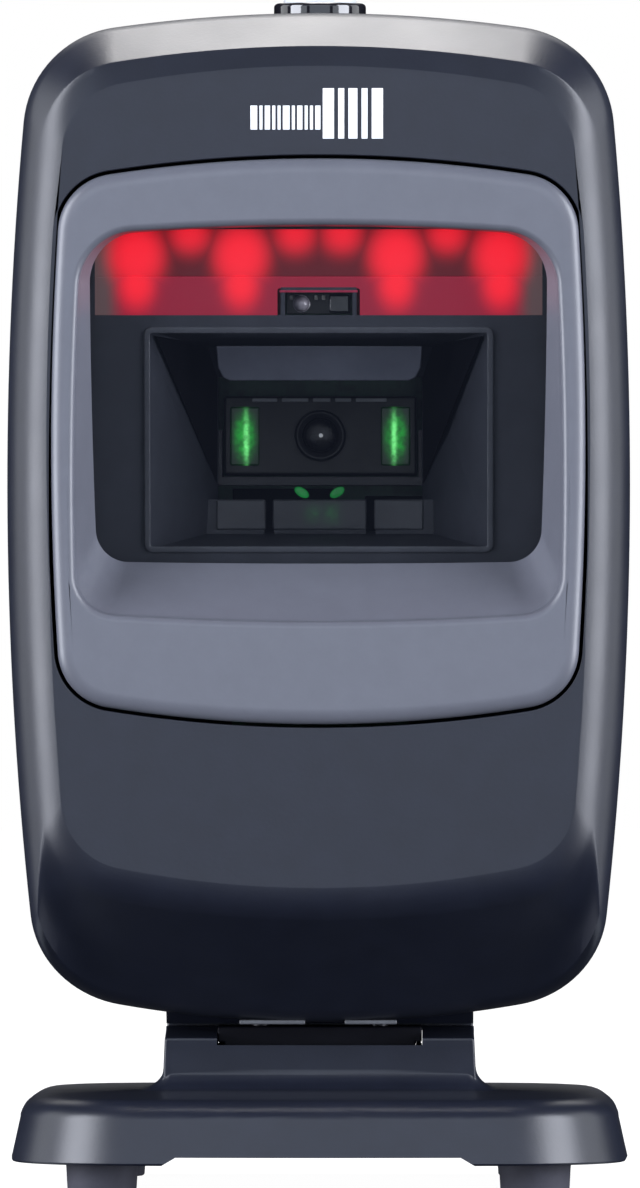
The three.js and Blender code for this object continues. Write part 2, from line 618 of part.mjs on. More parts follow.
function standShell() {
  const { bottom, draft, shoulder, rise, round, top } = SKIRT;
  const bend = [0, 30, 60, 90].map((a) => baseRing(
    draft + round * (1 - Math.cos(rad(a))),
    shoulder + rise * Math.sin(rad(a)),
  ));
  const edge = draft + round;
  const skin = loft([baseRing(0, bottom), ...bend, baseRing(edge + 8, top - 0.2), baseRing(edge + 18, top)]);
  const inside = draft + WALL;
  const hollow = loft([
    baseRing(WALL, bottom - 1), baseRing(inside, shoulder - 0.5), baseRing(inside + 1, shoulder + 0.3),
    baseRing(inside + 3, top - WALL - 0.9), baseRing(inside + 12, top - WALL - 0.6),
  ]);
  const neck = prism("x", neckProfile(), -NECK.halfWidth, NECK.halfWidth);
  const fillet = loft([0, 30, 60, 90].map((a) => atZ(
    barrel(NECK_FOOT, NECK_FILLET * (1 - Math.sin(rad(a))) + 0.01),
    top - 0.3 + NECK_FILLET * (1 - Math.cos(rad(a))),
  )));
  const posts = CORNERS.map(([sx, sy]) => rod(
    "z", FLOOR_PLATE.top + GAP, 11, BASE_SCREW.post, [sx * BASE_SCREW.x, sy * BASE_SCREW.y, 0],
  ));
  const pilots = CORNERS.map(([sx, sy]) => rod(
    "z", 6, 10.9, SCREW.pilot, [sx * BASE_SCREW.x, sy * BASE_SCREW.y, 0],
  ));
  const arch = prism("y", [
    [-ARCH.foot, bottom - 0.01], [-ARCH.foot, 0], [ARCH.foot, 0], [ARCH.foot, bottom - 0.01],
    [ARCH.halfWidth, bottom + ARCH.rise], [-ARCH.halfWidth, bottom + ARCH.rise],
  ], -60, 60);
  const capRoom = block([-30, NECK.split - GAP / 2, NECK.capBottom - GAP], [30, 12, 30]);
  return cut(
    join(cut(join(skin, fillet), hollow), neck, ...posts),
    ...neckSpaces(), ...pilots, arch, capRoom,
  );
}

// The rear half of each ear, which closes the bush seat.
function hingeCap(s) {
  const [x0, x1] = s > 0 ? [0, NECK.halfWidth] : [-NECK.halfWidth, 0];
  const half = prism("x", neckProfile(), x0, x1);
  const rear = block([-30, NECK.split + GAP / 2, NECK.capBottom], [30, 12, 30]);
  return cut(half.intersect(rear), ...neckSpaces());
}

function basePlate() {
  const { bottom, top, inset } = FLOOR_PLATE;
  const holes = CORNERS.flatMap(([sx, sy]) => {
    const at = [sx * BASE_SCREW.x, sy * BASE_SCREW.y, 0];
    return [
      rod("z", bottom - 1, top + 1, SCREW.hole, at),
      rod("z", bottom - 1, bottom + 1.2, SCREW.head + 0.4, at),
    ];
  });
  return cut(loft([baseRing(inset, bottom), baseRing(inset, top)]), ...holes);
}

function ballastPlate() {
  const { halfWidth: x, halfDepth: y, bottom, top, slotX, slotY } = BALLAST;
  const outline = [
    [-x, 4 - y], [4 - x, -y], [x - 4, -y], [x, 4 - y],
    [x, y - 4], [x - 4, y], [4 - x, y], [-x, y - 4],
  ];
  return cut(prism("z", outline, bottom, top), block([-slotX, -slotY, 0], [slotX, slotY, 20]));
}

// A screw along an axis, its head at the given end: along is 1 when it points to higher coordinates.
function screw(axis, headAt, length, headHeight, at, along) {
  const tip = headAt + along * length;
  const headTop = headAt - along * headHeight;
  const span = (a, b) => [Math.min(a, b), Math.max(a, b)];
  return join(
    rod(axis, ...span(headAt, headTop), SCREW.head, at, SCREW.head, 16),
    rod(axis, ...span(headAt - along * 0.2, tip), SCREW.shank, at, SCREW.shank, 12),
  );
}

// ---------------------------------------------------------------- assembly

function headGroup() {
  const group = new THREE.Group();
  group.add(
    piece("front_housing", frontHousing(), MAT.housing),
    piece("rear_housing", rearHousing(), MAT.housing),
    piece("window_bezel", windowBezel(), MAT.bezel),
    piece("scan_window", scanWindow(), MAT.pane),
    piece("window_gasket", windowGasket(), MAT.foam),
    piece("optical_chassis", opticalChassis(), MAT.chassis),
    piece("light_diffuser", lightDiffuser(), MAT.diffuser),
    piece("led_board", ledBoard(), MAT.board),
    ...MAIN_LED.x.map((x, i) => piece(`main_led_${i + 1}`, lamp(MAIN_LED.radius, x, MAIN_LED.z), MAT.redLed)),
    ...FILL_LED.x.map((x, i) => piece(`fill_led_${i + 1}`, lamp(FILL_LED.radius, x, FILL_LED.z), MAT.redLed)),
    ...presenceSensor(),
    ...cameraEngine(),
    ...electronics(),
    piece("key_ring", keyRing(), MAT.gloss),
    ...postPlaces.map((at, i) => piece(
      `housing_screw_${i + 1}`,
      screw("y", POST.shoulder + GAP, 15, SCREW.headHeight, at, -1),
      MAT.screw,
    )),
    piece("hinge_block", hingeBlock(), MAT.chassis),
    ...[-1, 1].map((s, i) => piece(
      `block_screw_${i + 1}`,
      screw("z", HEAD.bottom + WALL + 0.8, 6.5, SCREW.headHeight, [s * BLOCK_SCREW_X, 0, 0], -1),
      MAT.screw,
    )),
  );
  return group;
}

function keyGroup() {
  const group = new THREE.Group();
  const plunger = rod("z", KEY_BOARD_TOP + 2.4, KEY.stemEnd - GAP, KEY.stem, [0, 0, 0], KEY.stem, 12);
  group.add(
    piece("touch_key", touchKey(), MAT.key),
    piece("switch_plunger", plunger, MAT.rubber),
  );
  return group;
}

function standGroup() {
  const group = new THREE.Group();
  const { x: footX, y: footY, top, tip, height } = FOOT;
  group.add(
    piece("stand_shell", standShell(), MAT.housing),
    ...LEFT_RIGHT.map(([side, s]) => piece(`hinge_cap_${side}`, hingeCap(s), MAT.housing)),
    ...hingePieces(),
    piece("base_plate", basePlate(), MAT.steel),
    piece("ballast_plate", ballastPlate(), MAT.ballast),
    ...CORNERS.map(([sx, sy], i) => piece(
      `rubber_foot_${i + 1}`,
      rod("z", 0, height, tip, [sx * footX, sy * footY, 0], top),
      MAT.rubber,
    )),
    ...CORNERS.map(([sx, sy], i) => piece(
      `base_screw_${i + 1}`,
      screw(
        "z", FLOOR_PLATE.bottom + 0.9, 4.4, BASE_SCREW.head,
        [sx * BASE_SCREW.x, sy * BASE_SCREW.y, 0], 1,
      ),
      MAT.screw,
    )),
  );
  return group;
}

const scanner = new THREE.Group();
scanner.add(standGroup(), headGroup(), keyGroup());

export default scanner;
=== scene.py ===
from math import asin, atan2, copysign, cos, exp, hypot, pi, radians, sin, sqrt, tan

import bmesh
import bpy
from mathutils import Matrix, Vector


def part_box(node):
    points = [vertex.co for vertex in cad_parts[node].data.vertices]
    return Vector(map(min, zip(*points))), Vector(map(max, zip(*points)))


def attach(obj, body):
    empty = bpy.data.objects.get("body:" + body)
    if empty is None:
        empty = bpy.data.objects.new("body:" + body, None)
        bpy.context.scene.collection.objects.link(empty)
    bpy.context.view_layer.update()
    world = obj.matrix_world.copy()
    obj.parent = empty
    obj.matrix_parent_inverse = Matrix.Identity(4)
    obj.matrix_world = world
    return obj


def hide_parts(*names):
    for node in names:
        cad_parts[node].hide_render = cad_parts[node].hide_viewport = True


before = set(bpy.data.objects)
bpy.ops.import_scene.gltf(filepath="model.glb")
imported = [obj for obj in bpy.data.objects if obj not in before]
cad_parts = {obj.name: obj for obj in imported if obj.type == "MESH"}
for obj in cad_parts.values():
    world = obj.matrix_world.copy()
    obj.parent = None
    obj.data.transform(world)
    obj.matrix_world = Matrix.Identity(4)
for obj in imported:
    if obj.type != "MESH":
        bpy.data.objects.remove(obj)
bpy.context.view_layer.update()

MM = 0.001


def mm(*values):
    """Millimetres as a point or a pair of sizes in metres."""
    return tuple(value * MM for value in values)


def in_mm(**sizes):
    return {name: size * MM for name, size in sizes.items()}


def centre_of(node):
    low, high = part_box(node)
    return (low + high) / 2


def full_turn(steps):
    return [2 * pi * i / steps for i in range(steps)]


def quarter_turn(steps):
    return [pi / 2 * i / steps for i in range(steps + 1)]


def lerp(a, b, t):
    return a + (b - a) * t


# ---- sizes, in metres

HEAD_LOW, HEAD_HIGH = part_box("front_housing")
REAR_LOW, REAR_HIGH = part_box("rear_housing")
BEZEL_LOW, BEZEL_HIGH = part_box("window_bezel")
SHELL_LOW, SHELL_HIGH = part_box("stand_shell")

FACE_Y = HEAD_LOW[1]
SEAM_FRONT = HEAD_HIGH[1]
SEAM_REAR = REAR_LOW[1]
BACK_Y = REAR_HIGH[1]
HEAD_TOP = REAR_HIGH[2]
HEAD_BOTTOM = HEAD_LOW[2]
HEAD_HALF = HEAD_HIGH[0]
WALL = 2.2 * MM

# Outlines like a barrel: bowed sides, crowned top and bottom, round corners.
HEAD = dict(half=HEAD_HALF, top=HEAD_TOP, bottom=HEAD_BOTTOM,
            **in_mm(widest=94.4, side_r=535, top_r=195, bottom_r=155, top_c=14, bottom_c=14))
BEZEL = dict(half=BEZEL_HIGH[0], **in_mm(top=137.5, bottom=62.35, widest=100, side_r=445, top_r=183,
                                         bottom_r=177, top_c=8, bottom_c=7.9))
LIP = in_mm(half=32.35, top=128.6, bottom=76.05, widest=95, side_r=500, top_r=360, bottom_r=412,
            top_c=7.4, bottom_c=5.3)
WINDOW = in_mm(half=30.4, top=128.5, bottom=83.7, widest=125, side_r=1000, top_r=360, bottom_r=1500,
               top_c=6.6, bottom_c=4.4)
WINDOW_TOP_Y, WINDOW_BOTTOM_Y = -31.8 * MM, -24.4 * MM
BASE = dict(half=SHELL_HIGH[0] + 0.2 * MM, top=SHELL_HIGH[1], bottom=SHELL_LOW[1],
            **in_mm(widest=0, side_r=520, top_r=240, bottom_r=240, top_c=18, bottom_c=18))

SIDE_START = radians(18)        # how far the front face's sides turn away at once
SIDE_END = radians(88)
SIDE_ROLL = 8.25 * MM           # radius of the rolled side edge
BROW = in_mm(start=149.7, edge=152.4, forward=0.45)
CHIN = dict(z=40.7 * MM, radius=6 * MM, turn=radians(50), foot=8.5 * MM)
BACK_START = 9 * MM

CAP_STEPS, CORNER_STEPS, SIDE_STEPS = 12, 18, 30   # points along each part of an outline
SIDES = ((-1, "left"), (1, "right"))
STRAIGHT = 1 * MM               # half the straight side of the key


# ---- outlines

def corner_circle(side, cap, radius, up):
    """The circle inside both arcs: its centre, and the angles at which it touches the cap and the side."""
    dx, dz = cap[0] - side[0], cap[1] - side[1]
    apart = hypot(dx, dz)
    from_side, from_cap = side[2] - radius, cap[2] - radius
    along = (from_side ** 2 - from_cap ** 2 + apart ** 2) / (2 * apart)
    across = sqrt(from_side ** 2 - along ** 2) * up
    x = side[0] + (dx * along - dz * across) / apart
    z = side[1] + (dz * along + dx * across) / apart
    return x, z, atan2(z - cap[1], x - cap[0]), atan2(z - side[1], x - side[0])


def arc(x, z, radius, start, end, steps):
    """Points along an arc, without the last one."""
    angles = (start + (end - start) * i / steps for i in range(steps))
    return [(x + radius * cos(a), z + radius * sin(a)) for a in angles]


def barrel(shape, grow=0.0):
    """An outline of (x, z) points, clockwise from the middle of the top."""
    side = (shape["half"] - shape["side_r"], shape["widest"], shape["side_r"] + grow)
    top = (0.0, shape["top"] - shape["top_r"], shape["top_r"] + grow)
    bottom = (0.0, shape["bottom"] + shape["bottom_r"], shape["bottom_r"] + grow)
    high_r = max(shape["top_c"] + grow, 0.1 * MM)
    low_r = max(shape["bottom_c"] + grow, 0.1 * MM)
    hx, hz, h_cap, h_side = corner_circle(side, top, high_r, 1)
    lx, lz, l_cap, l_side = corner_circle(side, bottom, low_r, -1)
    right = (arc(*top, pi / 2, h_cap, CAP_STEPS)
             + arc(hx, hz, high_r, h_cap, h_side, CORNER_STEPS)
             + arc(*side, h_side, l_side, SIDE_STEPS)
             + arc(lx, lz, low_r, l_side, l_cap, CORNER_STEPS)
             + arc(*bottom, l_cap, -pi / 2, CAP_STEPS))
    left = [(-x, z) for x, z in reversed(right[1:])]
    return right + [(0.0, shape["bottom"] - grow)] + left


def ease(t):
    return t * t * (3 - 2 * t)


def outline_shares():
    """For each outline point, how much it belongs to the top, the sides and the bottom."""
    shares = [ease(i / CORNER_STEPS) for i in range(CORNER_STEPS)]
    right = [(1, 0, 0)] * CAP_STEPS + [(1 - s, s, 0) for s in shares]
    right += [(0, 1, 0)] * SIDE_STEPS + [(0, 1 - s, s) for s in shares]
    right += [(0, 0, 1)] * CAP_STEPS
    return right + [(0, 0, 1)] + list(reversed(right[1:]))


SHARES = outline_shares()


def ring(shape, y_top, y_side=None, y_bottom=None, grow=0.0):
    """An outline stood up at a depth, which may differ between its top, sides and bottom."""
    y_side = y_top if y_side is None else y_side
    y_bottom = y_side if y_bottom is None else y_bottom
    return [(x, t * y_top + s * y_side + b * y_bottom, z)
            for (x, z), (t, s, b) in zip(barrel(shape, grow), SHARES)]


def flat_ring(shape, z, grow):
    return [(x, y, z) for x, y in barrel(shape, grow)]


def window_y(z):
    share = (WINDOW["top"] - z) / (WINDOW["top"] - WINDOW["bottom"])
    return WINDOW_TOP_Y + (WINDOW_BOTTOM_Y - WINDOW_TOP_Y) * share


def leaning_ring(shape, behind, grow=0.0):
    """An outline in a plane parallel to the slanted window."""
    return [(x, window_y(z) + behind, z) for x, z in barrel(shape, grow)]


# ---- mesh helpers

def add_object(name, mesh):
    made = bpy.data.objects.new(name, mesh)
    bpy.context.scene.collection.objects.link(made)
    return made


def mesh_object(name, verts, faces, sharp=35):
    mesh = bpy.data.meshes.new(name)
    mesh.from_pydata([tuple(v) for v in verts], [], faces)
    work = bmesh.new()
    work.from_mesh(mesh)
    bmesh.ops.remove_doubles(work, verts=work.verts, dist=1e-7)
    bmesh.ops.recalc_face_normals(work, faces=work.faces)
    work.to_mesh(mesh)
    work.free()
    smooth(mesh, sharp)
    return add_object(name, mesh)


def smooth(mesh, sharp=35):
    mesh.polygons.foreach_set("use_smooth", [True] * len(mesh.polygons))
    mesh.set_sharp_from_angle(angle=radians(sharp))


def loft(name, rings, wrap=False, sharp=35):
    """A skin through rings of equally many points, closed at the ends or back onto itself."""
    count = len(rings[0])
    verts = [p for one in rings for p in one]
    faces = []
    for k in range(len(rings) if wrap else len(rings) - 1):
        a, b = k * count, (k + 1) % len(rings) * count
        faces += [(a + i, a + (i + 1) % count, b + (i + 1) % count, b + i) for i in range(count)]
    if not wrap:
        last = (len(rings) - 1) * count
        faces += [tuple(range(count)), tuple(range(last, last + count))]
    return mesh_object(name, verts, faces, sharp)


def prism(name, outline, x0, x1, sharp=35):
    """A (y, z) outline pushed along x."""
    return loft(name, [[(x, y, z) for y, z in outline] for x in (x0, x1)], sharp=sharp)


def bake_modifiers(piece):
    bpy.context.view_layer.update()
    done = piece.evaluated_get(bpy.context.evaluated_depsgraph_get())
    old = piece.data
    piece.data = bpy.data.meshes.new_from_object(done)
    piece.modifiers.clear()
    bpy.data.meshes.remove(old)
    smooth(piece.data)
    return piece


def combine(piece, others, operation="DIFFERENCE"):
    """Cuts other meshes from a piece, or joins them to it, and removes them."""
    for other in others:
        step = piece.modifiers.new("combine", "BOOLEAN")
        step.operation = operation
        step.solver = "EXACT"
        step.object = other
    bake_modifiers(piece)
    for other in others:
        bpy.data.objects.remove(other, do_unlink=True)
    return piece


def round_box(name, low, high, radius=0.3 * MM, segments=3, axes="xyz"):
    """A box between two corners with rounded edges; axes says along which axes the edges are rounded."""
    work = bmesh.new()
    bmesh.ops.create_cube(work, size=1.0)
    size = [h - l for l, h in zip(low, high)]
    middle = [(l + h) / 2 for l, h in zip(low, high)]
    for v in work.verts:
        v.co = Vector([m + c * s for m, c, s in zip(middle, v.co, size)])
    if radius > 0:
        along = ["xyz".index(a) for a in axes]
        edges = [e for e in work.edges
                 if any(abs((e.verts[0].co - e.verts[1].co)[a]) > 1e-9 for a in along)]
        bmesh.ops.bevel(work, geom=edges, offset=radius, segments=segments, profile=0.5, affect="EDGES")
    mesh = bpy.data.meshes.new(name)
    work.to_mesh(mesh)
    work.free()
    smooth(mesh, 50)
    return add_object(name, mesh)


AXIS_FRAMES = {
    "x": (Vector((0, 1, 0)), Vector((0, 0, 1)), Vector((1, 0, 0))),
    "y": (Vector((0, 0, 1)), Vector((1, 0, 0)), Vector((0, 1, 0))),
    "z": (Vector((1, 0, 0)), Vector((0, 1, 0)), Vector((0, 0, 1))),
}


def lathe(name, profile, at, axis="z", sides=48, sharp=35):
    """A turned solid from (radius, height) points, its heights along an axis through a point."""
    u, v, w = AXIS_FRAMES[axis]
    rings = []
    for radius, height in profile:
        base = Vector(at) + w * height
        reach = max(radius, 1e-6)
        rings.append([base + (u * cos(t) + v * sin(t)) * reach for t in full_turn(sides)])
    return loft(name, rings, sharp=sharp)


def rod(name, radius, low, high, at=(0, 0, 0), axis="z", sides=48):
    """A plain round bar between two heights along an axis, to cut with or to join on."""
    return lathe(name, [(0, low), (radius, low), (radius, high), (0, high)], at, axis, sides)


def rounded_edge(radius, height, edge, steps):
    """Points of a turned profile that rounds its upper edge."""
    return [(radius - edge * (1 - cos(a)), height - edge * (1 - sin(a))) for a in quarter_turn(steps)]


def stadium(radius, z, steps=24):
    """The key's outline: a ring of two half circles joined by straight sides, long in y."""
    points = []
    for y, start in ((STRAIGHT, 0.0), (-STRAIGHT, pi)):
        for i in range(steps + 1):
            turn = start + pi * i / steps
            points.append((radius * cos(turn), y + radius * sin(turn), z))
    return points


def finish(piece, body, slot_name, material, *nodes):
    """Gives a piece its material, its body and the CAD nodes that it stands for; slot_name is not used."""
    piece.data.materials.clear()
    piece.data.materials.append(material)
    even = piece.modifiers.new("even_shading", "WEIGHTED_NORMAL")
    even.keep_sharp = True
    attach(piece, body)
    if nodes:
        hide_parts(*nodes)
    return piece


def box_row(name, boxes, radius, segments, slot_name, material):
    """Numbered boxes on the head, from pairs of corners."""
    for number, (low, high) in enumerate(boxes, 1):
        piece = round_box(f"{name}_{number}", low, high, radius, segments)
        finish(piece, "head", slot_name, material)


# ---- materials

class Look:
    """A new material: its Principled shader and the nodes that feed it."""

    def __init__(self, name):
        self.material = bpy.data.materials.new(name)
        self.material.use_nodes = True
        self.tree = self.material.node_tree
        self.shader = self.tree.nodes["Principled BSDF"]

    def connect(self, value, socket):
        """Links a node's output to a socket, or sets the socket to a number or colour."""
        if isinstance(value, bpy.types.NodeSocket):
            self.tree.links.new(value, socket)
        elif socket.type == "RGBA":
            socket.default_value = (*value, 1)
        else:
            socket.default_value = value

    def node(self, kind, inputs, output, **settings):
        """Adds a node, sets it up and gives one of its outputs."""
        made = self.tree.nodes.new(f"ShaderNode{kind}")
        for name, value in settings.items():
            setattr(made, name, value)
        for name, value in inputs.items():
            self.connect(value, made.inputs[name])
        return made.outputs[output]

    def shade(self, inputs):
        """Sets the shader's own inputs and gives the material."""
        for name, value in inputs.items():
            self.connect(value, self.shader.inputs[name])
        return self.material

    def where(self):
        return self.node("TexCoord", {}, "Object")

    def place(self):
        """The x, y and z of the point being shaded, in the object's own metres."""
        point = self.where()
        return [self.node("SeparateXYZ", {"Vector": point}, axis) for axis in "XYZ"]

    def noise(self, scale, detail=2.0, roughness=0.5):
        """A noise texture in the object's own coordinates; scale is in features per metre."""
        inputs = {"Vector": self.where(), "Scale": scale, "Detail": detail, "Roughness": roughness}
        return self.node("TexNoise", inputs, "Fac")

    def spread(self, value, low, high, start=0.3, end=0.7, curve="LINEAR"):
        """Goes from low to high as a value goes from start to end."""
        inputs = {"Value": value, "From Min": start, "From Max": end, "To Min": low, "To Max": high}
        return self.node("MapRange", inputs, "Result", interpolation_type=curve)

    def mix(self, share, first, second):
        inputs = {"Factor": share, "A": first, "B": second}
        return self.node("Mix", inputs, "Result", data_type="RGBA")

    def maths(self, operation, *values):
        return self.node("Math", dict(enumerate(values)), "Value", operation=operation)

    def bump(self, height, distance, strength=1.0):
        inputs = {"Height": height, "Distance": distance, "Strength": strength}
        self.shade({"Normal": self.node("Bump", inputs, "Normal")})


def shade_of(colour, share):
    return [c * share for c in colour]


def moulded(name, colour, roughness, grain=0.35, depth=0.006, contrast=0.08, specular=0.5):
    """Moulded plastic: grain size and depth in millimetres, and slightly uneven colour and gloss."""
    look = Look(name)
    mottle = look.spread(look.noise(260, 4, 0.65), 0, 1)
    look.bump(look.noise(1000 / grain), depth * MM)
    return look.shade({
        "Base Color": look.mix(mottle, shade_of(colour, 1 - contrast), shade_of(colour, 1 + contrast)),
        "Roughness": look.spread(look.noise(90, 3), roughness * 0.93, roughness * 1.07),
        "Specular IOR Level": specular,
    })


def brushed(name, colour, roughness):
    """Plain sheet metal with fine rolling marks along x."""
    look = Look(name)
    stretched = look.node("Mapping", {"Vector": look.where(), "Scale": (60, 3500, 3500)}, "Vector")
    marks = look.node("TexNoise", {"Vector": stretched, "Scale": 1.0}, "Fac")
    return look.shade({
        "Base Color": look.mix(look.spread(marks, 0, 1), shade_of(colour, 0.86), colour),
        "Roughness": look.spread(marks, roughness * 0.8, roughness * 1.25),
        "Metallic": 1.0,
    })


def circuit_board(name):
    """Solder mask over faint tracks."""
    look = Look(name)
    tracks = look.node("TexVoronoi", {"Vector": look.where(), "Scale": 380}, "Distance",
                       feature="F2", distance="CHEBYCHEV")
    look.bump(tracks, 0.03 * MM, 0.4)
    mask = look.mix(look.spread(tracks, 0, 1), (0.01, 0.07, 0.03), (0.02, 0.14, 0.06))
    return look.shade({"Base Color": mask, "Roughness": 0.35})


def tinted_pane(name):
    """A thin smoked window with faint unevenness in its polish."""
    look = Look(name)
    smudges = look.spread(look.noise(45, 3), 0.03, 0.07)
    return look.shade({"Base Color": (0.010, 0.012, 0.018), "Alpha": 0.22, "Roughness": smudges})


def glass_like(name, colour, roughness=0.05, coat=0.6):
    """Dark or clear polished plastic with a faintly wavy surface."""
    look = Look(name)
    tone = look.noise(500)
    return look.shade({
        "Base Color": look.mix(look.spread(tone, 0, 1), shade_of(colour, 0.85), colour),
        "Roughness": look.spread(tone, roughness * 0.7, roughness * 1.4),
        "Coat Weight": coat,
        "Coat Roughness": 0.03,
    })


def milky(name):
    """Translucent light-grey key."""
    look = Look(name)
    cloud = look.noise(300, 3)
    return look.shade({
        "Base Color": look.mix(look.spread(cloud, 0, 1), (0.60, 0.62, 0.66), (0.70, 0.72, 0.75)),
        "Roughness": look.spread(cloud, 0.22, 0.34),
        "Subsurface Weight": 0.35,
        "Subsurface Radius": mm(1.5, 1.5, 1.6),
    })


def glowing(name, colour, light, strength):
    """Clear plastic lit from inside, a little uneven."""
    look = Look(name)
    tone = look.spread(look.noise(900, 3), 0, 1)
    return look.shade({
        "Base Color": look.mix(tone, shade_of(colour, 0.7), colour),
        "Emission Color": look.mix(tone, shade_of(light, 0.6), light),
        "Emission Strength": strength,
        "Roughness": 0.15,
    })


def glow_spot(look, x, z, centre, reach, hardness):
    """Brightness of one lamp seen through a diffuser: 1 in the middle, fading over an ellipse."""
    squares = []
    for value, middle, half in zip((x, z), centre, reach):
        away = look.maths("DIVIDE", look.maths("SUBTRACT", value, middle), half)
        squares.append(look.maths("MULTIPLY", away, away))
    power = look.maths("POWER", look.maths("ADD", *squares), hardness)
    return look.maths("POWER", exp(-1), power)


MATTE_GREY = (0.0095, 0.0115, 0.0205)
STEP_GREY = (0.095, 0.10, 0.115)
M = {
    "housing": moulded("housing_plastic", MATTE_GREY, 0.38, 0.45, 0.010, 0.10),
    "bezel": moulded("bezel_plastic", (0.107, 0.112, 0.136), 0.35, 0.4, 0.006, 0.04),
    "chassis": moulded("chassis_plastic", (0.040, 0.045, 0.060), 0.50, 0.4, 0.008, 0.12),
    "black": moulded("black_plastic", (0.005, 0.005, 0.008), 0.50, 0.3, 0.004, 0.15, 0.08),
    "foam": moulded("foam", (0.006, 0.006, 0.007), 0.95, 0.5, 0.08, 0.3, 0.2),
    "rubber": moulded("rubber", (0.042, 0.042, 0.055), 0.75, 0.25, 0.012, 0.15, 0.3),
    "nylon": moulded("nylon", (0.78, 0.76, 0.70), 0.45, 0.3, 0.004, 0.03),
    "black_nylon": moulded("black_nylon", (0.010, 0.010, 0.012), 0.45, 0.3, 0.004, 0.1, 0.3),
    "print": moulded("white_print", (0.90, 0.90, 0.92), 0.50, 0.15, 0.002, 0.02),
    "label": moulded("label_film", (0.42, 0.43, 0.45), 0.35, 0.2, 0.002, 0.03),
    "steel": brushed("steel", (0.62, 0.63, 0.65), 0.30),
    "black_steel": brushed("black_steel", (0.055, 0.055, 0.06), 0.35),
    "gold": brushed("gold_plate", (0.85, 0.62, 0.25), 0.22),
    "board": circuit_board("circuit_board"),
    "pane": tinted_pane("window_tint"),
    "gloss": glass_like("piano_black", (0.012, 0.012, 0.016), 0.08),
    "dark_glass": glass_like("dark_lens", (0.004, 0.005, 0.008), 0.04, 1.0),
    "lens": glass_like("lens_glass", (0.006, 0.006, 0.009), 0.3, 0.0),
    "clear": glass_like("clear_lens", (0.45, 0.42, 0.48), 0.05, 1.0),
    "key": milky("milky_key"),
    "stand": moulded("stand_plastic", MATTE_GREY, 0.34, 0.45, 0.010, 0.10),
    "rim": moulded("tunnel_rim", (0.085, 0.092, 0.110), 0.30, 0.3, 0.003, 0.10),
    "engine": moulded("engine_plastic", (0.013, 0.014, 0.017), 0.45, 0.3, 0.006, 0.2),
    "bracket": moulded("bracket_paint", (0.035, 0.036, 0.045), 0.45, 0.3, 0.006, 0.15),
    # painted light: the ceiling plate's pale colour stands in for light that barely reaches it
    "baffle": moulded("baffle_plastic_painted_light", (0.22, 0.235, 0.30), 0.45, 0.3, 0.005, 0.08),
    "step": moulded("step_plastic", STEP_GREY, 0.42, 0.3, 0.005, 0.10),
    # partly painted highlight: the hinge ribs' paler colour shows the lines of light along their edges
    "rib": moulded("rib_plastic_painted_highlight", (0.075, 0.078, 0.088), 0.30, 0.3, 0.004, 0.2),
    "ballast": brushed("ballast_steel", (0.30, 0.30, 0.31), 0.5),
    "dark_board": moulded("dark_board", (0.012, 0.014, 0.016), 0.35, 0.6, 0.03, 0.6),
    "red_lamp": glowing("red_lamp", (0.9, 0.02, 0.04), (1.0, 0.02, 0.05), 1.2),
    # painted reflection: the light guides glow with the aimers' green
    "green_guide_painted_glow": glowing("green_guide_painted_glow", (0.02, 0.12, 0.03), (0.01, 0.26, 0.05), 0.9),
    # painted light: glow along the sensor notch's top edge
    "notch_edge_painted_glow": glowing("notch_edge_painted_glow", (0.2, 0.03, 0.05), (0.30, 0.03, 0.075), 0.9),
    # painted highlight on the camera lens
    "glint": glowing("lens_glint", (0.8, 0.82, 0.9), (0.55, 0.58, 0.62), 0.8),
}


# ---- head shells

SIDE_TURNS = [0, 0.015] + [i / 13 for i in range(1, 14)]
BROW_STEPS = (0, 0.05, 0.3, 0.55, 0.78, 1.0)
CHIN_TURNS = (0, 0.03, 0.28, 0.55, 0.8, 1.0)
CHAMFER_END = (HEAD_TOP - 0.8 * MM, FACE_Y + 5.4 * MM)
TOP_FLAT_START = FACE_Y + 8.5 * MM
FACE_INSET = SIDE_ROLL * (sin(SIDE_END) - sin(SIDE_START))
FACE_CROWN = in_mm(top=147, bottom=136)


def side_profile():
    """(half width, y) of the rolled side edge, from the face backwards."""
    turns = [lerp(SIDE_START, SIDE_END, t) for t in SIDE_TURNS]
    return [(HEAD_HALF - SIDE_ROLL * (sin(SIDE_END) - sin(a)),
             FACE_Y + SIDE_ROLL * (cos(SIDE_START) - cos(a))) for a in turns]


def top_profile():
    """(z, y) of the top edge: hollow brow, crisp edge, chamfer, round into the flat top."""
    points = [(lerp(BROW["start"], BROW["edge"], u), FACE_Y - BROW["forward"] * u) for u in BROW_STEPS]
    start, end = points[-1], CHAMFER_END
    points += [(lerp(start[0], end[0], u), lerp(start[1], end[1], u)) for u in (0.02, 0.34, 0.68, 1.0)]
    slope = (end[0] - start[0]) / (end[1] - start[1])
    knee_y = end[1] + (HEAD_TOP - end[0]) / slope
    for u in (0.2, 0.4, 0.6, 0.8, 1.0):
        a, b, c = (1 - u) ** 2, 2 * u * (1 - u), u * u
        points.append((a * end[0] + (b + c) * HEAD_TOP, a * end[1] + b * knee_y + c * TOP_FLAT_START))
    return points


def chin_profile():
    """(z, y) of the lower edge: round edge, sloping chin, round foot into the level underside."""
    turn, radius, foot = CHIN["turn"], CHIN["radius"], CHIN["foot"]
    points = [(CHIN["z"] - radius * sin(turn * u), FACE_Y + radius * (1 - cos(turn * u)))
              for u in CHIN_TURNS]
    start_z, start_y = points[-1]
    end_z = HEAD_BOTTOM + foot * (1 - sin(turn))
    end_y = start_y + (start_z - end_z) * tan(turn)
    points += [(lerp(start_z, end_z, u), lerp(start_y, end_y, u)) for u in (0.25, 0.5, 0.75, 1.0)]
    for u in (0.2, 0.4, 0.6, 0.8, 1.0):
        angle = lerp(turn, pi / 2, u)
        points.append((HEAD_BOTTOM + foot * (1 - sin(angle)), end_y + foot * (cos(turn) - cos(angle))))
    return points


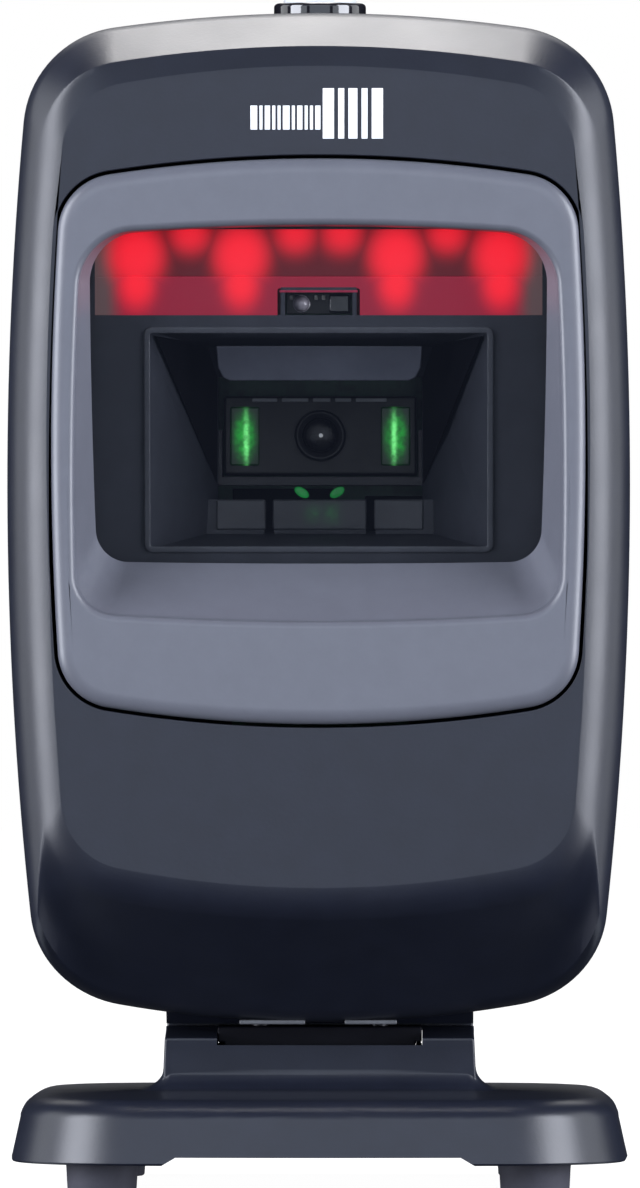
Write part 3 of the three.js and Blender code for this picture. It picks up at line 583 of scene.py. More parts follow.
def front_rings():
    """The front shell's outer rings, from the face to where its sides run straight back."""
    rings = []
    profiles = zip(side_profile(), top_profile(), chin_profile())
    for (half, y_side), (top, y_top), (bottom, y_bottom) in profiles:
        inset = HEAD_HALF - half
        shape = dict(HEAD, half=half, top=top, bottom=bottom,
                     top_c=HEAD["top_c"] - 0.8 * inset, bottom_c=HEAD["bottom_c"] - 0.8 * inset,
                     top_r=lerp(HEAD["top_r"], FACE_CROWN["top"], inset / FACE_INSET),
                     bottom_r=lerp(HEAD["bottom_r"], FACE_CROWN["bottom"], inset / FACE_INSET))
        rings.append((shape, y_top, y_side, y_bottom))
    return rings


def between(first, second, share):
    return [tuple(lerp(p, q, share) for p, q in zip(a, b)) for a, b in zip(first, second)]


SOUND_SLOTS = (17.8, 21, 24.2)   # in millimetres to the right
LINING_RINGS = (14, 11, 8, 6)    # the outer rings that the shell's inside follows
BEZEL_GAP = 0.45 * MM
EDGE = 0.15 * MM


def front_housing():
    outer = front_rings()
    rings = [ring(shape, *depths) for shape, *depths in outer]
    opening_back = ring(BEZEL, FACE_Y + WALL, grow=BEZEL_GAP)
    opening = [ring(BEZEL, FACE_Y + EDGE, grow=BEZEL_GAP),
               ring(BEZEL, FACE_Y + EDGE * 0.3, grow=BEZEL_GAP + EDGE * 0.3),
               ring(BEZEL, FACE_Y, grow=BEZEL_GAP + EDGE)]
    face_support = between(opening[-1], rings[0], 0.9)
    seam_edge = SEAM_FRONT - 0.25 * MM
    shape, *depths = outer[-1]
    straight = [ring(shape, *[lerp(y, seam_edge, u) for y in depths]) for u in (0.35, 0.7, 1.0)]
    seam = [ring(HEAD, SEAM_FRONT, grow=-0.25 * MM), ring(HEAD, SEAM_FRONT, grow=-WALL)]
    inner = []
    for number in LINING_RINGS:
        shape, *depths = outer[number]
        inner.append(ring(shape, *[min(y + WALL, SEAM_FRONT - 0.1 * MM) for y in depths], grow=-WALL))
    skin = opening + [face_support] + rings + straight + seam + inner + [opening_back]
    shell = loft("front_housing_shell", skin, wrap=True)
    slots = [round_box("slot", mm(x - 0.65, -24, 150), mm(x + 0.65, -15, 162), 0.55 * MM, 4, "z")
             for x in SOUND_SLOTS]
    return combine(shell, slots)


def rear_shape(turn):
    """The rear shell's outline and depth as its edge rolls in, turn going from 0 to a right angle."""
    fall = 1 - cos(turn)
    shape = dict(HEAD, half=HEAD_HALF - REAR_ROLL["side"] * fall, top=HEAD_TOP - REAR_ROLL["top"] * fall,
                 bottom=HEAD_BOTTOM + REAR_ROLL["bottom"] * fall)
    return shape, lerp(BACK_START, BACK_Y, sin(turn))


SCREW_PLACES = [mm(x, z) for z in (56, 143) for x in (-26, 26)]
BOSS_LOW = (-20.7 * MM, -5 * MM, REAR_LOW.z)
BOSS_HIGH = (20.7 * MM, 6 * MM, REAR_LOW.z + 2.5 * MM)
BOSS_SLOPE = 3.5 * MM
LABEL = in_mm(half=17, low=88, high=116)
REAR_ROLL = in_mm(side=11, top=15, bottom=22)   # how far the rear shell's edge rolls in
BACK_MIDDLE = (0, BACK_Y, 93 * MM)


def back_openings():
    """What is cut from the rear shell: screw wells, socket mouth, label bed and the key's hole."""
    cutters = [rod("well", *mm(3.1, -5, 40), (x, 0, z), "y", 40) for x, z in SCREW_PLACES]
    z = centre_of("cable_socket").z
    cutters.append(round_box("mouth", (-6.2 * MM, 10 * MM, z - 3.8 * MM),
                             (6.2 * MM, 40 * MM, z + 3.8 * MM), 0.5 * MM, 3, "y"))
    cutters.append(round_box("surround", (-9 * MM, BACK_Y - 0.8 * MM, z - 6.6 * MM),
                             (9 * MM, 40 * MM, z + 6.6 * MM), 2 * MM, 5, "y"))
    margin = 0.5 * MM
    bed_low = (-LABEL["half"] - margin, BACK_Y - 0.35 * MM, LABEL["low"] - margin)
    bed_high = (LABEL["half"] + margin, 40 * MM, LABEL["high"] + margin)
    cutters.append(round_box("label_bed", bed_low, bed_high, 1.5 * MM, 4, "y"))
    cutters.append(loft("key_hole", [stadium(5.85 * MM, z * MM) for z in (150, 162)]))
    return cutters


def rear_housing():
    outer = [ring(HEAD, SEAM_REAR, grow=-0.25 * MM), ring(HEAD, SEAM_REAR + 0.25 * MM), ring(HEAD, 0.0)]
    inner = [ring(HEAD, SEAM_REAR, grow=-WALL)]
    for step, turn in enumerate(quarter_turn(16)):
        shape, y = rear_shape(turn)
        outer.append(ring(shape, y))
        if step % 4 == 0:
            inner.append(ring(shape, y - WALL * sin(turn), grow=-WALL))
    back = between(outer[-1], [BACK_MIDDLE] * len(outer[-1]), 0.06)
    shell = loft("rear_housing_shell", list(reversed(inner)) + outer + [back])
    (x0, y0, z0), (x1, y1, z1) = BOSS_LOW, BOSS_HIGH
    boss = prism("boss", [(y0, z1), (y1, z1), (y1, z0), (y0 + BOSS_SLOPE, z0)], x0, x1)
    combine(shell, [boss], "UNION")
    return combine(shell, back_openings())


def seam_tongue():
    """The strip inside the shells that keeps light from passing through their seam."""
    front, back, outer, inner = SEAM_FRONT - 1 * MM, SEAM_REAR + 1 * MM, -0.5 * MM, -1.3 * MM
    return loft("seam_tongue", [ring(HEAD, y, grow=g) for y, g in
                                ((front, outer), (back, outer), (back, inner), (front, inner))], wrap=True)


def window_bezel():
    front, back = BEZEL_LOW[1], -31.9 * MM
    deep, wide, lip = 1.2 * MM, 2.1 * MM, 1.0 * MM
    steps = quarter_turn(8)
    rings = [ring(BEZEL, back)]
    rings += [ring(BEZEL, front + deep * (1 - sin(a)), grow=-wide * (1 - cos(a))) for a in steps]
    rings += [ring(LIP, front + lip * (1 - cos(a)), grow=lip * (1 - sin(a))) for a in steps]
    mouth, sill = rings[-1], leaning_ring(WINDOW, 0)
    rings += [between(mouth, sill, u) for u in (0.04, 0.3, 0.6, 0.9)]
    rings += [sill, leaning_ring(WINDOW, 0, 1.6 * MM), ring(LIP, back, grow=1.6 * MM)]
    return loft("window_bezel_frame", rings, wrap=True)


def head_shells():
    finish(front_housing(), "head", "housing", M["housing"], "front_housing")
    finish(rear_housing(), "head", "housing", M["housing"], "rear_housing")
    finish(seam_tongue(), "head", "housing", M["black"])
    finish(window_bezel(), "head", "bezel", M["bezel"], "window_bezel")
    label = round_box("rear_label", (-LABEL["half"], BACK_Y - 0.3 * MM, LABEL["low"]),
                      (LABEL["half"], BACK_Y - 0.1 * MM, LABEL["high"]), 1.2 * MM, 4, "y")
    finish(label, "head", "bezel", M["label"])


head_shells()


# ---- what shows behind the window

BAND_LOW, BAND_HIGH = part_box("light_diffuser")
PLATE_BEHIND = 3.4 * MM
NOTCH = in_mm(half=5.2, top=120.1)
MOUTH = in_mm(half=22.9, top=114.8, bottom=85.6)


def soften(piece, width, angle=30):
    """Rounds every crisp edge of a piece, including a CAD node's, without moving its faces."""
    flat = piece.modifiers.new("merge_flat_faces", "DECIMATE")
    flat.decimate_type = "DISSOLVE"
    flat.angle_limit = radians(1)
    edge = piece.modifiers.new("round_edges", "BEVEL")
    edge.width = width
    edge.segments = 3
    edge.limit_method = "ANGLE"
    edge.angle_limit = radians(angle)
    edge.harden_normals = False
    smooth(piece.data, 40)
    return piece


def dress(node, material, width=0.0):
    """Gives a CAD node that stays in view its material and softened edges."""
    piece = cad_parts[node]
    piece.data.materials.clear()
    piece.data.materials.append(material)
    if width:
        soften(piece, width)


# CAD nodes whose shapes stay: material, softened edge in millimetres, nodes
KEPT_NODES = (
    ("pane", 0, ["scan_window"]),
    ("foam", 0, ["window_gasket"]),
    ("chassis", 0.12, ["optical_chassis"]),
    ("bracket", 0.15, ["engine_bracket"]),
    ("board", 0, ["led_board", "engine_board", "main_board", "socket_board", "key_board"]),
    ("dark_board", 0, ["sensor_board"]),
    ("black", 0.2, ["beeper"]),
    ("steel", 0.2, ["tact_switch", "base_plate"]),
    ("steel", 0.3, ["hinge_pin"]),
    ("ballast", 0.3, ["ballast_plate"]),
    ("rubber", 0, ["switch_plunger"]),
    ("black_nylon", 0.1, ["hinge_bush_left", "hinge_bush_right"]),
    ("red_lamp", 0, [f"{kind}_led_{i}" for kind in ("main", "fill") for i in range(1, 5)]),
)


def dress_nodes():
    for look, edge, nodes in KEPT_NODES:
        for node in nodes:
            dress(node, M[look], edge * MM)


def lamp_sum(look, x, z):
    """Light of all the lamps behind the diffuser: pear-shaped big ones and small ones between them."""
    aside = look.maths("ABSOLUTE", x)
    spots = []
    for number in (3, 4):
        lamp = centre_of(f"main_led_{number}")
        upper = glow_spot(look, aside, z, (lamp.x, lamp.z + 0.9 * MM), mm(3.8, 4.4), 1.9)
        lower = glow_spot(look, aside, z, (lamp.x, lamp.z - 2.8 * MM), mm(2.5, 3.4), 1.5)
        lamp = centre_of(f"fill_led_{number}")
        small = glow_spot(look, aside, z, (lamp.x, lamp.z + 1.1 * MM), mm(2.8, 2.6), 1.3)
        spots += [upper, lower, look.maths("MULTIPLY", small, 0.85)]
    total = spots[0]
    for spot in spots[1:]:
        total = look.maths("MAXIMUM", total, spot)
    return total


def lamp_panel_material(name, rest_colour, glow_colour):
    """A frosted panel lit from behind; rest_colour shows where no lamp is near, and the pale grey glow at
    the panel's ends is painted light.
    """
    look = Look(name)
    x, _, z = look.place()
    # painted light: the panel's ends glow pale grey, standing in for studio light on the unlit diffuser
    end = look.spread(look.maths("ABSOLUTE", x), 0, 1, 25.5 * MM, 28.6 * MM, "SMOOTHSTEP")
    rest = look.mix(end, rest_colour, (0.115, 0.078, 0.082))
    look.bump(look.noise(2500), 0.01 * MM)
    return look.shade({
        "Emission Color": look.mix(lamp_sum(look, x, z), rest, glow_colour),
        "Emission Strength": 1.0,
        "Base Color": (0.05, 0.02, 0.025),
        "Roughness": 0.5,
    })


def slanted_box(name, x0, x1, low, high, behind, thick, edge=0.2 * MM):
    """A box whose front and back lean with the window."""
    piece = round_box(name, (x0, 0, low), (x1, thick, high), edge, 2)
    for v in piece.data.vertices:
        v.co.y += window_y(v.co.z) + behind
    piece.data.update()
    return piece


def lamp_band():
    """The frosted red panel: an upper half set back, a lower half in front, and a notch for the sensor."""
    x0, x1 = BAND_LOW[0] - 1.2 * MM, BAND_HIGH[0] + 1.2 * MM
    step = 121.9 * MM
    notch = NOTCH["half"] + 0.3 * MM
    hot = (1.5, 0.016, 0.042)
    upper_look = lamp_panel_material("lamp_panel_upper", (0.115, 0.002, 0.006), hot)
    lower_look = lamp_panel_material("lamp_panel_lower", (0.36, 0.006, 0.036), hot)
    upper = slanted_box("lamp_panel_upper", x0, x1, step, BAND_HIGH[2] + 1.3 * MM,
                        PLATE_BEHIND + 0.3 * MM, 0.9 * MM)
    lower = slanted_box("lamp_panel_lower", x0, x1, BAND_LOW[2] - 0.4 * MM, step + 0.05 * MM,
                        PLATE_BEHIND, 1.2 * MM)
    opening = round_box("notch", (-notch, -40 * MM, 110 * MM), (notch, 0, NOTCH["top"] + 0.3 * MM),
                        0.3 * MM, 2, "y")
    combine(lower, [opening])
    finish(upper, "head", "diffuser", upper_look, "light_diffuser")
    finish(lower, "head", "diffuser", lower_look)


def mouth_ring(behind, grow, corner=0.7 * MM, steps=5):
    """The tunnel mouth's rounded rectangle, leaning with the window at a distance behind it."""
    x, high, low = MOUTH["half"] + grow, MOUTH["top"] + grow, MOUTH["bottom"] - grow
    r = corner + grow
    points = []
    corners = ((x - r, high - r, 0), (r - x, high - r, 90), (r - x, low + r, 180), (x - r, low + r, 270))
    for cx, cz, start in corners:
        for i in range(steps + 1):
            turn = radians(start + 90 * i / steps)
            points.append((cx + r * cos(turn), cz + r * sin(turn)))
    return [(px, window_y(pz) + behind, pz) for px, pz in points]


def squared(value):
    """Pushes a sine or cosine outwards, which turns a circle into a rounded square."""
    return copysign(abs(value) ** 0.45, value)


def tunnel_rim():
    """A narrow flange round the mouth of the camera's tunnel."""
    wide, tall = 0.42 * MM, 0.3 * MM
    front = PLATE_BEHIND - 0.05 * MM
    rings = [mouth_ring(front - tall * squared(sin(t)), wide * squared(cos(t))) for t in full_turn(16)]
    rim = loft("tunnel_rim", rings, wrap=True, sharp=80)
    finish(rim, "head", "chassis", M["rim"])


def tunnel_painted_shadows():
    """Dark triangular webs where the tunnel's side walls meet its ceiling: painted shadow, a dark sheet put
    where there is only shade.
    """
    outline = [mm(21.6, -24, 113.9), mm(13.9, 2.2, 94.6), mm(13.9, 2.2, 112.9)]
    for side, name in SIDES:
        near = [(side * x, y, z) for x, y, z in outline]
        far = [(side * (x + 0.25 * MM), y + 0.5 * MM, z + 0.2 * MM) for x, y, z in outline]
        finish(loft(f"tunnel_painted_shadow_{name}", [near, far]), "head", "chassis", M["black"])


def lit_step_material():
    """The middle step's plastic, with two faint green patches of painted light where the aimers' light
    falls.
    """
    look = Look("step_with_painted_green_light")
    x, _, z = look.place()
    left = glow_spot(look, x, z, mm(-0.9, 90.6), mm(1.0, 1.1), 1)
    right = glow_spot(look, x, z, mm(1.5, 90.4), mm(1.1, 1.3), 1)
    grain = look.spread(look.noise(1800), 0.1, 1.0)
    # painted light: the green patches glow on the step as the aimers' light
    patch = look.maths("MULTIPLY", look.maths("MAXIMUM", left, right), grain)
    look.bump(look.noise(3000), 0.005 * MM)
    return look.shade({
        "Emission Color": look.mix(patch, (0, 0, 0), (0.004, 0.075, 0.012)),
        "Emission Strength": 1.0,
        "Base Color": STEP_GREY,
        "Roughness": look.spread(look.noise(90, 3), 0.39, 0.45),
    })


def tunnel_inside():
    """Pale plates that catch light inside the tunnel: a ceiling plate, paler than its plastic as painted
    light since the lamps barely reach it, and three steps on the floor.
    """
    outline = [(13.8, 112.9), (13.6, 110.0), (12.9, 108.7), (12.0, 108.3)]
    points = [mm(x, z) for x, z in outline] + [mm(-x, z) for x, z in reversed(outline)]
    rings = [[(x, lean * MM - (z - 109 * MM) * 0.5 - 12.5 * MM, z) for x, z in points] for lean in (0, 0.6)]
    finish(soften(loft("tunnel_ceiling_plate", rings), 0.15 * MM), "head", "chassis", M["baffle"])
    steps = ((-14.0, -7.3, M["step"]), (-6.4, 6.3, lit_step_material()), (7.3, 14.0, M["step"]))
    for number, (x0, x1, material) in enumerate(steps, 1):
        step = round_box(f"tunnel_step_{number}", mm(x0, -1.25, 88.3), mm(x1, -0.4, 92.4), 0.3 * MM)
        finish(step, "head", "chassis", material)


def sensor_window():
    """The presence sensor in the lower edge of the lamp panel."""
    low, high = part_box("ir_emitter")
    centre, radius = centre_of("ir_emitter"), (high.x - low.x) / 2
    dome = [(0, high.y), (radius, high.y), (radius, low.y + 1.15 * MM)]
    dome += [(radius * 0.92 * cos(a), low.y + radius * 0.95 * (1 - sin(a))) for a in quarter_turn(8)[:-1]]
    emitter = lathe("ir_emitter_dome", dome + [(0, low.y)], (centre.x, 0, centre.z), "y", 32)
    finish(emitter, "head", "clear_lens", M["clear"], "ir_emitter")
    receiver = round_box("ir_receiver_block", *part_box("ir_receiver"), 0.25 * MM)
    finish(receiver, "head", "dark_glass", M["dark_glass"], "ir_receiver")
    chips = [(mm(x, -23.1, 118.9), mm(x + 0.5, -22.7, 119.5)) for x in (-3.9, -0.6, 0.4)]
    box_row("sensor_chip", chips, 0.06 * MM, 1, "nylon", M["nylon"])
    half, top = NOTCH["half"], NOTCH["top"]
    # painted light: a thin glowing strip on the notch's top edge, where the red lamps' light catches it
    painted_glow_edge = slanted_box("notch_edge_painted_glow", -half, half, top - 0.28 * MM, top + 0.02 * MM,
                           PLATE_BEHIND - 0.12 * MM, 0.3 * MM, 0.05 * MM)
    finish(painted_glow_edge, "head", "diffuser", M["notch_edge_painted_glow"])


def aimer_material():
    """A green lens: a bright upright streak inside a softer glow."""
    look = Look("aimer_glow")
    x, _, z = look.place()
    lens = centre_of("aimer_lens_right")
    aside = look.maths("ABSOLUTE", x)
    halo = glow_spot(look, aside, z, (lens.x, lens.z), mm(1.35, 3.0), 1.7)
    streak = glow_spot(look, aside, z, (lens.x - 0.2 * MM, lens.z - 0.3 * MM), mm(0.36, 3.2), 1.2)
    grain = look.spread(look.noise(1500, 3), 0.35, 1.2)
    soft = look.mix(look.maths("MULTIPLY", halo, grain), (0.0012, 0.006, 0.002), (0.003, 0.46, 0.03))
    return look.shade({
        "Emission Color": look.mix(look.maths("MULTIPLY", streak, grain), soft, (0.32, 1.5, 0.42)),
        "Emission Strength": 1.0,
        "Base Color": (0.01, 0.03, 0.012),
        "Roughness": 0.12,
    })


def engine_highlight_ridges(low, high):
    """Short ridges along the top of the camera engine, pale as a painted highlight on its top edge."""
    y0, y1, z0, z1 = low.y - 0.25 * MM, low.y + 0.4 * MM, high.z - 0.75 * MM, high.z - 0.25 * MM
    spans = ((-9.2, 3.4), (-5.2, 3.6), (-1, 2.4), (2, 2.2), (4.8, 4.2))
    ridges = [((x * MM, y0, z0), ((x + width) * MM, y1, z1)) for x, width in spans]
    box_row("engine_highlight_ridge", ridges, 0.12 * MM, 3, "chassis", M["label"])


def lens_glass(centre):
    low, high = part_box("camera_lens")
    radius, dome = (high.x - low.x) / 2, 0.6 * MM
    profile = [(0, high.y), (radius, high.y), (radius, low.y + dome)]
    profile += [(radius * cos(a), low.y + dome * (1 - sin(a))) for a in quarter_turn(8)[1:-1]]
    glass = lathe("camera_lens_glass", profile + [(0, low.y)], (0, 0, centre.z), "y", 40)
    finish(glass, "head", "dark_glass", M["lens"], "camera_lens")
    # painted highlight: a tiny glowing dome standing in for the glint on the lens
    glint = lathe("lens_glint", [(0, 0), mm(0.3, 0), mm(0.22, -0.12), mm(0, -0.16)],
                  (0.1 * MM, low.y + 0.02 * MM, centre.z), "y", 16)
    finish(glint, "head", "clear_lens", M["glint"])


def aimers():
    green = aimer_material()
    for _, side in SIDES:
        lens = round_box(f"aimer_lens_{side}_glass", *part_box(f"aimer_lens_{side}"), 0.3 * MM)
        lens.visible_diffuse = False
        lens.visible_glossy = False
        finish(lens, "head", "green_lens", green, f"aimer_lens_{side}")


def camera_engine():
    low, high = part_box("engine_body")
    body = round_box("engine_body_shell", low, high, 0.35 * MM)
    barrel_low, barrel_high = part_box("lens_barrel")
    centre = centre_of("lens_barrel")
    outer = (barrel_high.x - barrel_low.x) / 2
    combine(body, [rod("bore", outer + 0.08 * MM, 0, 12 * MM, (0, 0, centre.z), "y")])
    finish(body, "head", "chassis", M["engine"], "engine_body")
    engine_highlight_ridges(low, high)
    inner, front, back = 2.5 * MM, barrel_low.y, barrel_high.y
    tube = [(inner, back), (outer, back), (outer, front + 0.25 * MM), (outer - 0.25 * MM, front),
            (inner + 0.5 * MM, front), (inner + 0.3 * MM, front + 0.15 * MM), (inner, front + 0.5 * MM)]
    rings = [[(r * cos(t), y, centre.z + r * sin(t)) for t in full_turn(48)] for r, y in tube]
    barrel_tube = loft("lens_barrel_tube", rings, wrap=True, sharp=25)
    finish(barrel_tube, "head", "chassis", M["engine"], "lens_barrel")
    lens_glass(centre)
    aimers()


def reflections():
    """Small clear light guides under the lens, glowing green as a painted reflection of the aimers' light
    that they pick up.
    """
    radius, tall = mm(1.1, 0.5)
    profile = [(0, 0), (radius, 0)] + rounded_edge(radius, tall, 0.3 * MM, 4) + [(0, tall)]
    for name, x, lean in (("left", -2.5, 32), ("right", 2.3, -32)):
        guide = lathe(f"light_guide_{name}", profile, (0, 0, 0), "y", 24)
        turn = radians(lean)
        for v in guide.data.vertices:
            px, pz = v.co.x, v.co.z * 0.55
            v.co.x = x * MM + px * cos(turn) + pz * sin(turn)
            v.co.z = 93.4 * MM - px * sin(turn) + pz * cos(turn)
            v.co.y = 4.5 * MM - v.co.y
        finish(guide, "head", "green_lens", M["green_guide_painted_glow"])


def optics():
    lamp_band()
    tunnel_rim()
    tunnel_painted_shadows()
    tunnel_inside()
    sensor_window()
    camera_engine()
    reflections()


optics()


# ---- key, socket, screws and boards

def key_ring():
    low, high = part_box("key_ring")
    flange, base, inner, collar = high.x, HEAD_TOP + 0.15 * MM, 5.2 * MM, 5.55 * MM
    profile = [(collar, low.z), (collar, base), (flange - 0.1 * MM, base), (flange, base + 0.1 * MM)]
    profile += rounded_edge(flange, high.z, 0.55 * MM, 6)
    profile += [(inner + 0.25 * MM, high.z), (inner + 0.08 * MM, high.z - 0.07 * MM),
                (inner, high.z - 0.25 * MM), (inner, low.z)]
    rings = [stadium(r, z) for r, z in profile]
    finish(loft("key_ring_trim", rings, wrap=True), "head", "gloss_trim", M["gloss"], "key_ring")


def touch_key():
    low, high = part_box("touch_key")
    levels = [(0.3, 157.2), (0, 157.5), (0, 159.6), (0.06, 159.95), (0.25, 160.25), (0.6, 160.5),
              (1.2, 160.68), (2.2, 160.78), (3.2, 160.8)]
    rings = [stadium(high.x - inset * MM, z * MM) for inset, z in levels]
    stem = rod("stem", 1.5 * MM, low.z, 158 * MM)
    cap = combine(loft("touch_key_cap", rings, sharp=50), [stem], "UNION")
    finish(cap, "key", "key", M["key"], "touch_key")


def cross_screw(node, axis, head_at, head_end, tip, body):
    """A turned screw with a rounded head and a cross recess, in place of a CAD screw."""
    lengthwise = "xyz".index(axis)
    centre = list(centre_of(node))
    centre[lengthwise] = 0
    way = 1 if head_end > head_at else -1
    rim = head_end - way * 0.5 * MM
    profile = [(0, tip), (0.9 * MM, tip), (1.3 * MM, tip + way * 0.6 * MM), (1.3 * MM, head_at),
               (2.7 * MM, head_at), (2.7 * MM, rim), (2.55 * MM, rim + way * 0.25 * MM),
               (2.1 * MM, head_end), (0, head_end)]
    made = lathe(f"{node}_turned", profile, centre, axis, 32, 30)
    cutters = []
    for across in {0, 1, 2} - {lengthwise}:
        half = [0.32 * MM] * 3
        half[across] = 1.45 * MM
        low = [c - h for c, h in zip(centre, half)]
        high = [c + h for c, h in zip(centre, half)]
        low[lengthwise], high[lengthwise] = sorted((head_end - way * 0.9 * MM, head_end + way * 0.5 * MM))
        cutters.append(round_box("recess", low, high, 0.1 * MM, 1))
    finish(combine(made, cutters), body, "screw", M["black_steel"], node)


def screws():
    for i in range(1, 5):
        low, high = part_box(f"housing_screw_{i}")
        cross_screw(f"housing_screw_{i}", "y", high.y - 1.8 * MM, high.y, low.y, "head")
        low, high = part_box(f"base_screw_{i}")
        cross_screw(f"base_screw_{i}", "z", low.z + 1.1 * MM, low.z, high.z, "stand")
    for i in (1, 2):
        low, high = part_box(f"block_screw_{i}")
        cross_screw(f"block_screw_{i}", "z", high.z - 1.8 * MM, high.z, low.z, "head")


def socket():
    """The modular jack, with ten sprung contacts in its roof."""
    low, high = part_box("cable_socket")
    z, back, front = (low.z + high.z) / 2, high.y - 11.4 * MM, high.y + 2 * MM
    jack = round_box("cable_socket_shell", low, high, 0.4 * MM)
    mouth = round_box("mouth", (-5.9 * MM, back, z - 3.5 * MM), (5.9 * MM, front, z + 3.5 * MM),
                      0.3 * MM, 2, "y")
    latch = round_box("latch", (-3 * MM, back, z - 5.1 * MM), (3 * MM, front, z), 0.3 * MM, 2, "y")
    finish(combine(jack, [mouth, latch]), "head", "chassis", M["black"], "cable_socket")
    half, start, end = 0.2 * MM, high.y - 10.6 * MM, high.y - 1.5 * MM
    places = [(i - 4.5) * 1.02 * MM for i in range(10)]
    contacts = [((x - half, start, z + 2.2 * MM), (x + half, end, z + 3.3 * MM)) for x in places]
    box_row("socket_contact", contacts, 0.12 * MM, 2, "steel", M["gold"])


def emblem():
    """Plain printed bars on the brow, like a sample bar code: a short run, then a taller block."""
    short = (-9.0, 141.3, 144.5, (0.9, 0.4, 0.7, 0.4, 0.4, 0.9, 0.4, 0.7, 0.4, 0.4, 0.7), 0.3)
    tall = (0.6, 140.1, 146.8, (1.5, 0.8, 1.2, 0.8, 1.5), 0.55)
    for x, low, high, widths, gap in (short, tall):
        for width in widths:
            bar = round_box("printed_bar", (x * MM, FACE_Y - 0.05 * MM, low * MM),
                            ((x + width) * MM, FACE_Y + 0.05 * MM, high * MM), 0.04 * MM, 1)
            finish(bar, "head", "nylon", M["print"])
            x += width + gap


def board_chips():
    chips = ((-12, 80, 14, 14), (6, 84, 9, 9), (-8, 100, 20, 12), (16, 100, 7, 5), (-24, 108, 9, 12))
    boxes = [(mm(x, 17.6, z), mm(x + wide, 18.9, z + tall)) for x, z, wide, tall in chips]
    box_row("board_chip", boxes, 0.2 * MM, 2, "chassis", M["black"])


dress_nodes()
key_ring()
touch_key()
screws()
socket()
emblem()
board_chips()


# ---- stand and hinge

NECK_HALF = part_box("hinge_cap_right")[1].x
SLOT_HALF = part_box("hinge_cap_right")[0].x
PIN_Z = centre_of("hinge_pin").z
NECK_FOOT = dict(half=NECK_HALF + 0.2 * MM, top=7.2 * MM, bottom=-9.0 * MM, widest=-1 * MM,
                 side_r=0.9, top_r=0.9, bottom_r=0.9, top_c=1.2 * MM, bottom_c=1.2 * MM)
NECK_FRONT = -9.5 * MM
NECK_FRONT_FOOT = -8.4 * MM
NECK_WALL_BACK = -7.3 * MM
NECK_SPREAD = 2.2   # how much wider the neck grows per metre downwards
EAR_TOP = 20.1 * MM
MIDDLE_TOP = 19.0 * MM
EAR_RADIUS = 7.2 * MM
CAP_SPLIT = 1 * MM
BASE_TOP = 13 * MM


def ear_profile():
    """Side view of the neck: flat front, sloping top, then round about the hinge."""
    turns = [radians(112 - 8 * i) for i in range(15)]
    back = [(EAR_RADIUS * cos(t), PIN_Z + EAR_RADIUS * sin(t)) for t in turns]
    front = [(EAR_RADIUS, 11.5 * MM), (NECK_FRONT_FOOT, 11.5 * MM), (NECK_FRONT, EAR_TOP - 0.5 * MM)]
    return front + [(NECK_FRONT + 0.15 * MM, EAR_TOP - 0.15 * MM), (NECK_FRONT + 0.5 * MM, EAR_TOP)] + back


def cut_box(low, high):
    return round_box("cutter", [v * MM for v in low], [v * MM for v in high], 0)


def seat():
    return rod("seat", *mm(3.4, -19.4, 19.4), (0, 0, PIN_Z), "x", 40)


def neck_spaces():
    slot = SLOT_HALF / MM
    return [cut_box((-slot, NECK_WALL_BACK / MM, 8), (slot, 6.9, 30)),
            cut_box((-slot, NECK_WALL_BACK / MM, 13.2), (slot, 14, 30)),
            cut_box((-slot, -11.5, MIDDLE_TOP / MM), (slot, NECK_WALL_BACK / MM + 1, 30)), seat()]


def base_skin():
    """The base's outside: drafted skirt, round shoulder, slightly crowned top."""
    low, shoulder, draft, bend = SHELL_LOW.z, 9.4 * MM, 1.2 * MM, 4.2 * MM
    rings = [flat_ring(BASE, low, -0.4 * MM), flat_ring(BASE, low + 0.07 * MM, -0.17 * MM),
             flat_ring(BASE, low + 0.3 * MM, -0.03 * MM), flat_ring(BASE, low + 2 * MM, -0.42 * MM)]
    for turn in quarter_turn(9):
        inset = draft + bend * (1 - cos(turn))
        rings.append(flat_ring(BASE, shoulder + 3.2 * MM * sin(turn), -inset))
    edge = (draft + bend) / MM
    crown = ((2, 12.66), (4.5, 12.74), (8, 12.84), (18, 13))
    rings += [flat_ring(BASE, z * MM, -(edge + inset) * MM) for inset, z in crown]
    return loft("stand_base", rings, sharp=40)


def base_hollow():
    steps = ((2.2, 2.9), (3.4, 8.9), (4.4, 9.7), (6.4, 9.9), (15.4, 10.2))
    return loft("hollow", [flat_ring(BASE, z * MM, -inset * MM) for inset, z in steps])


def neck_flare():
    """The neck's foot: a hollow curve from the base's top up into the neck."""
    rings = []
    for turn in quarter_turn(12):
        rings.append(flat_ring(NECK_FOOT, BASE_TOP - 0.3 * MM + 3.1 * MM * (1 - cos(turn)),
                               (4.4 * (1 - sin(turn)) + 0.05) * MM))
    return loft("flare", rings)


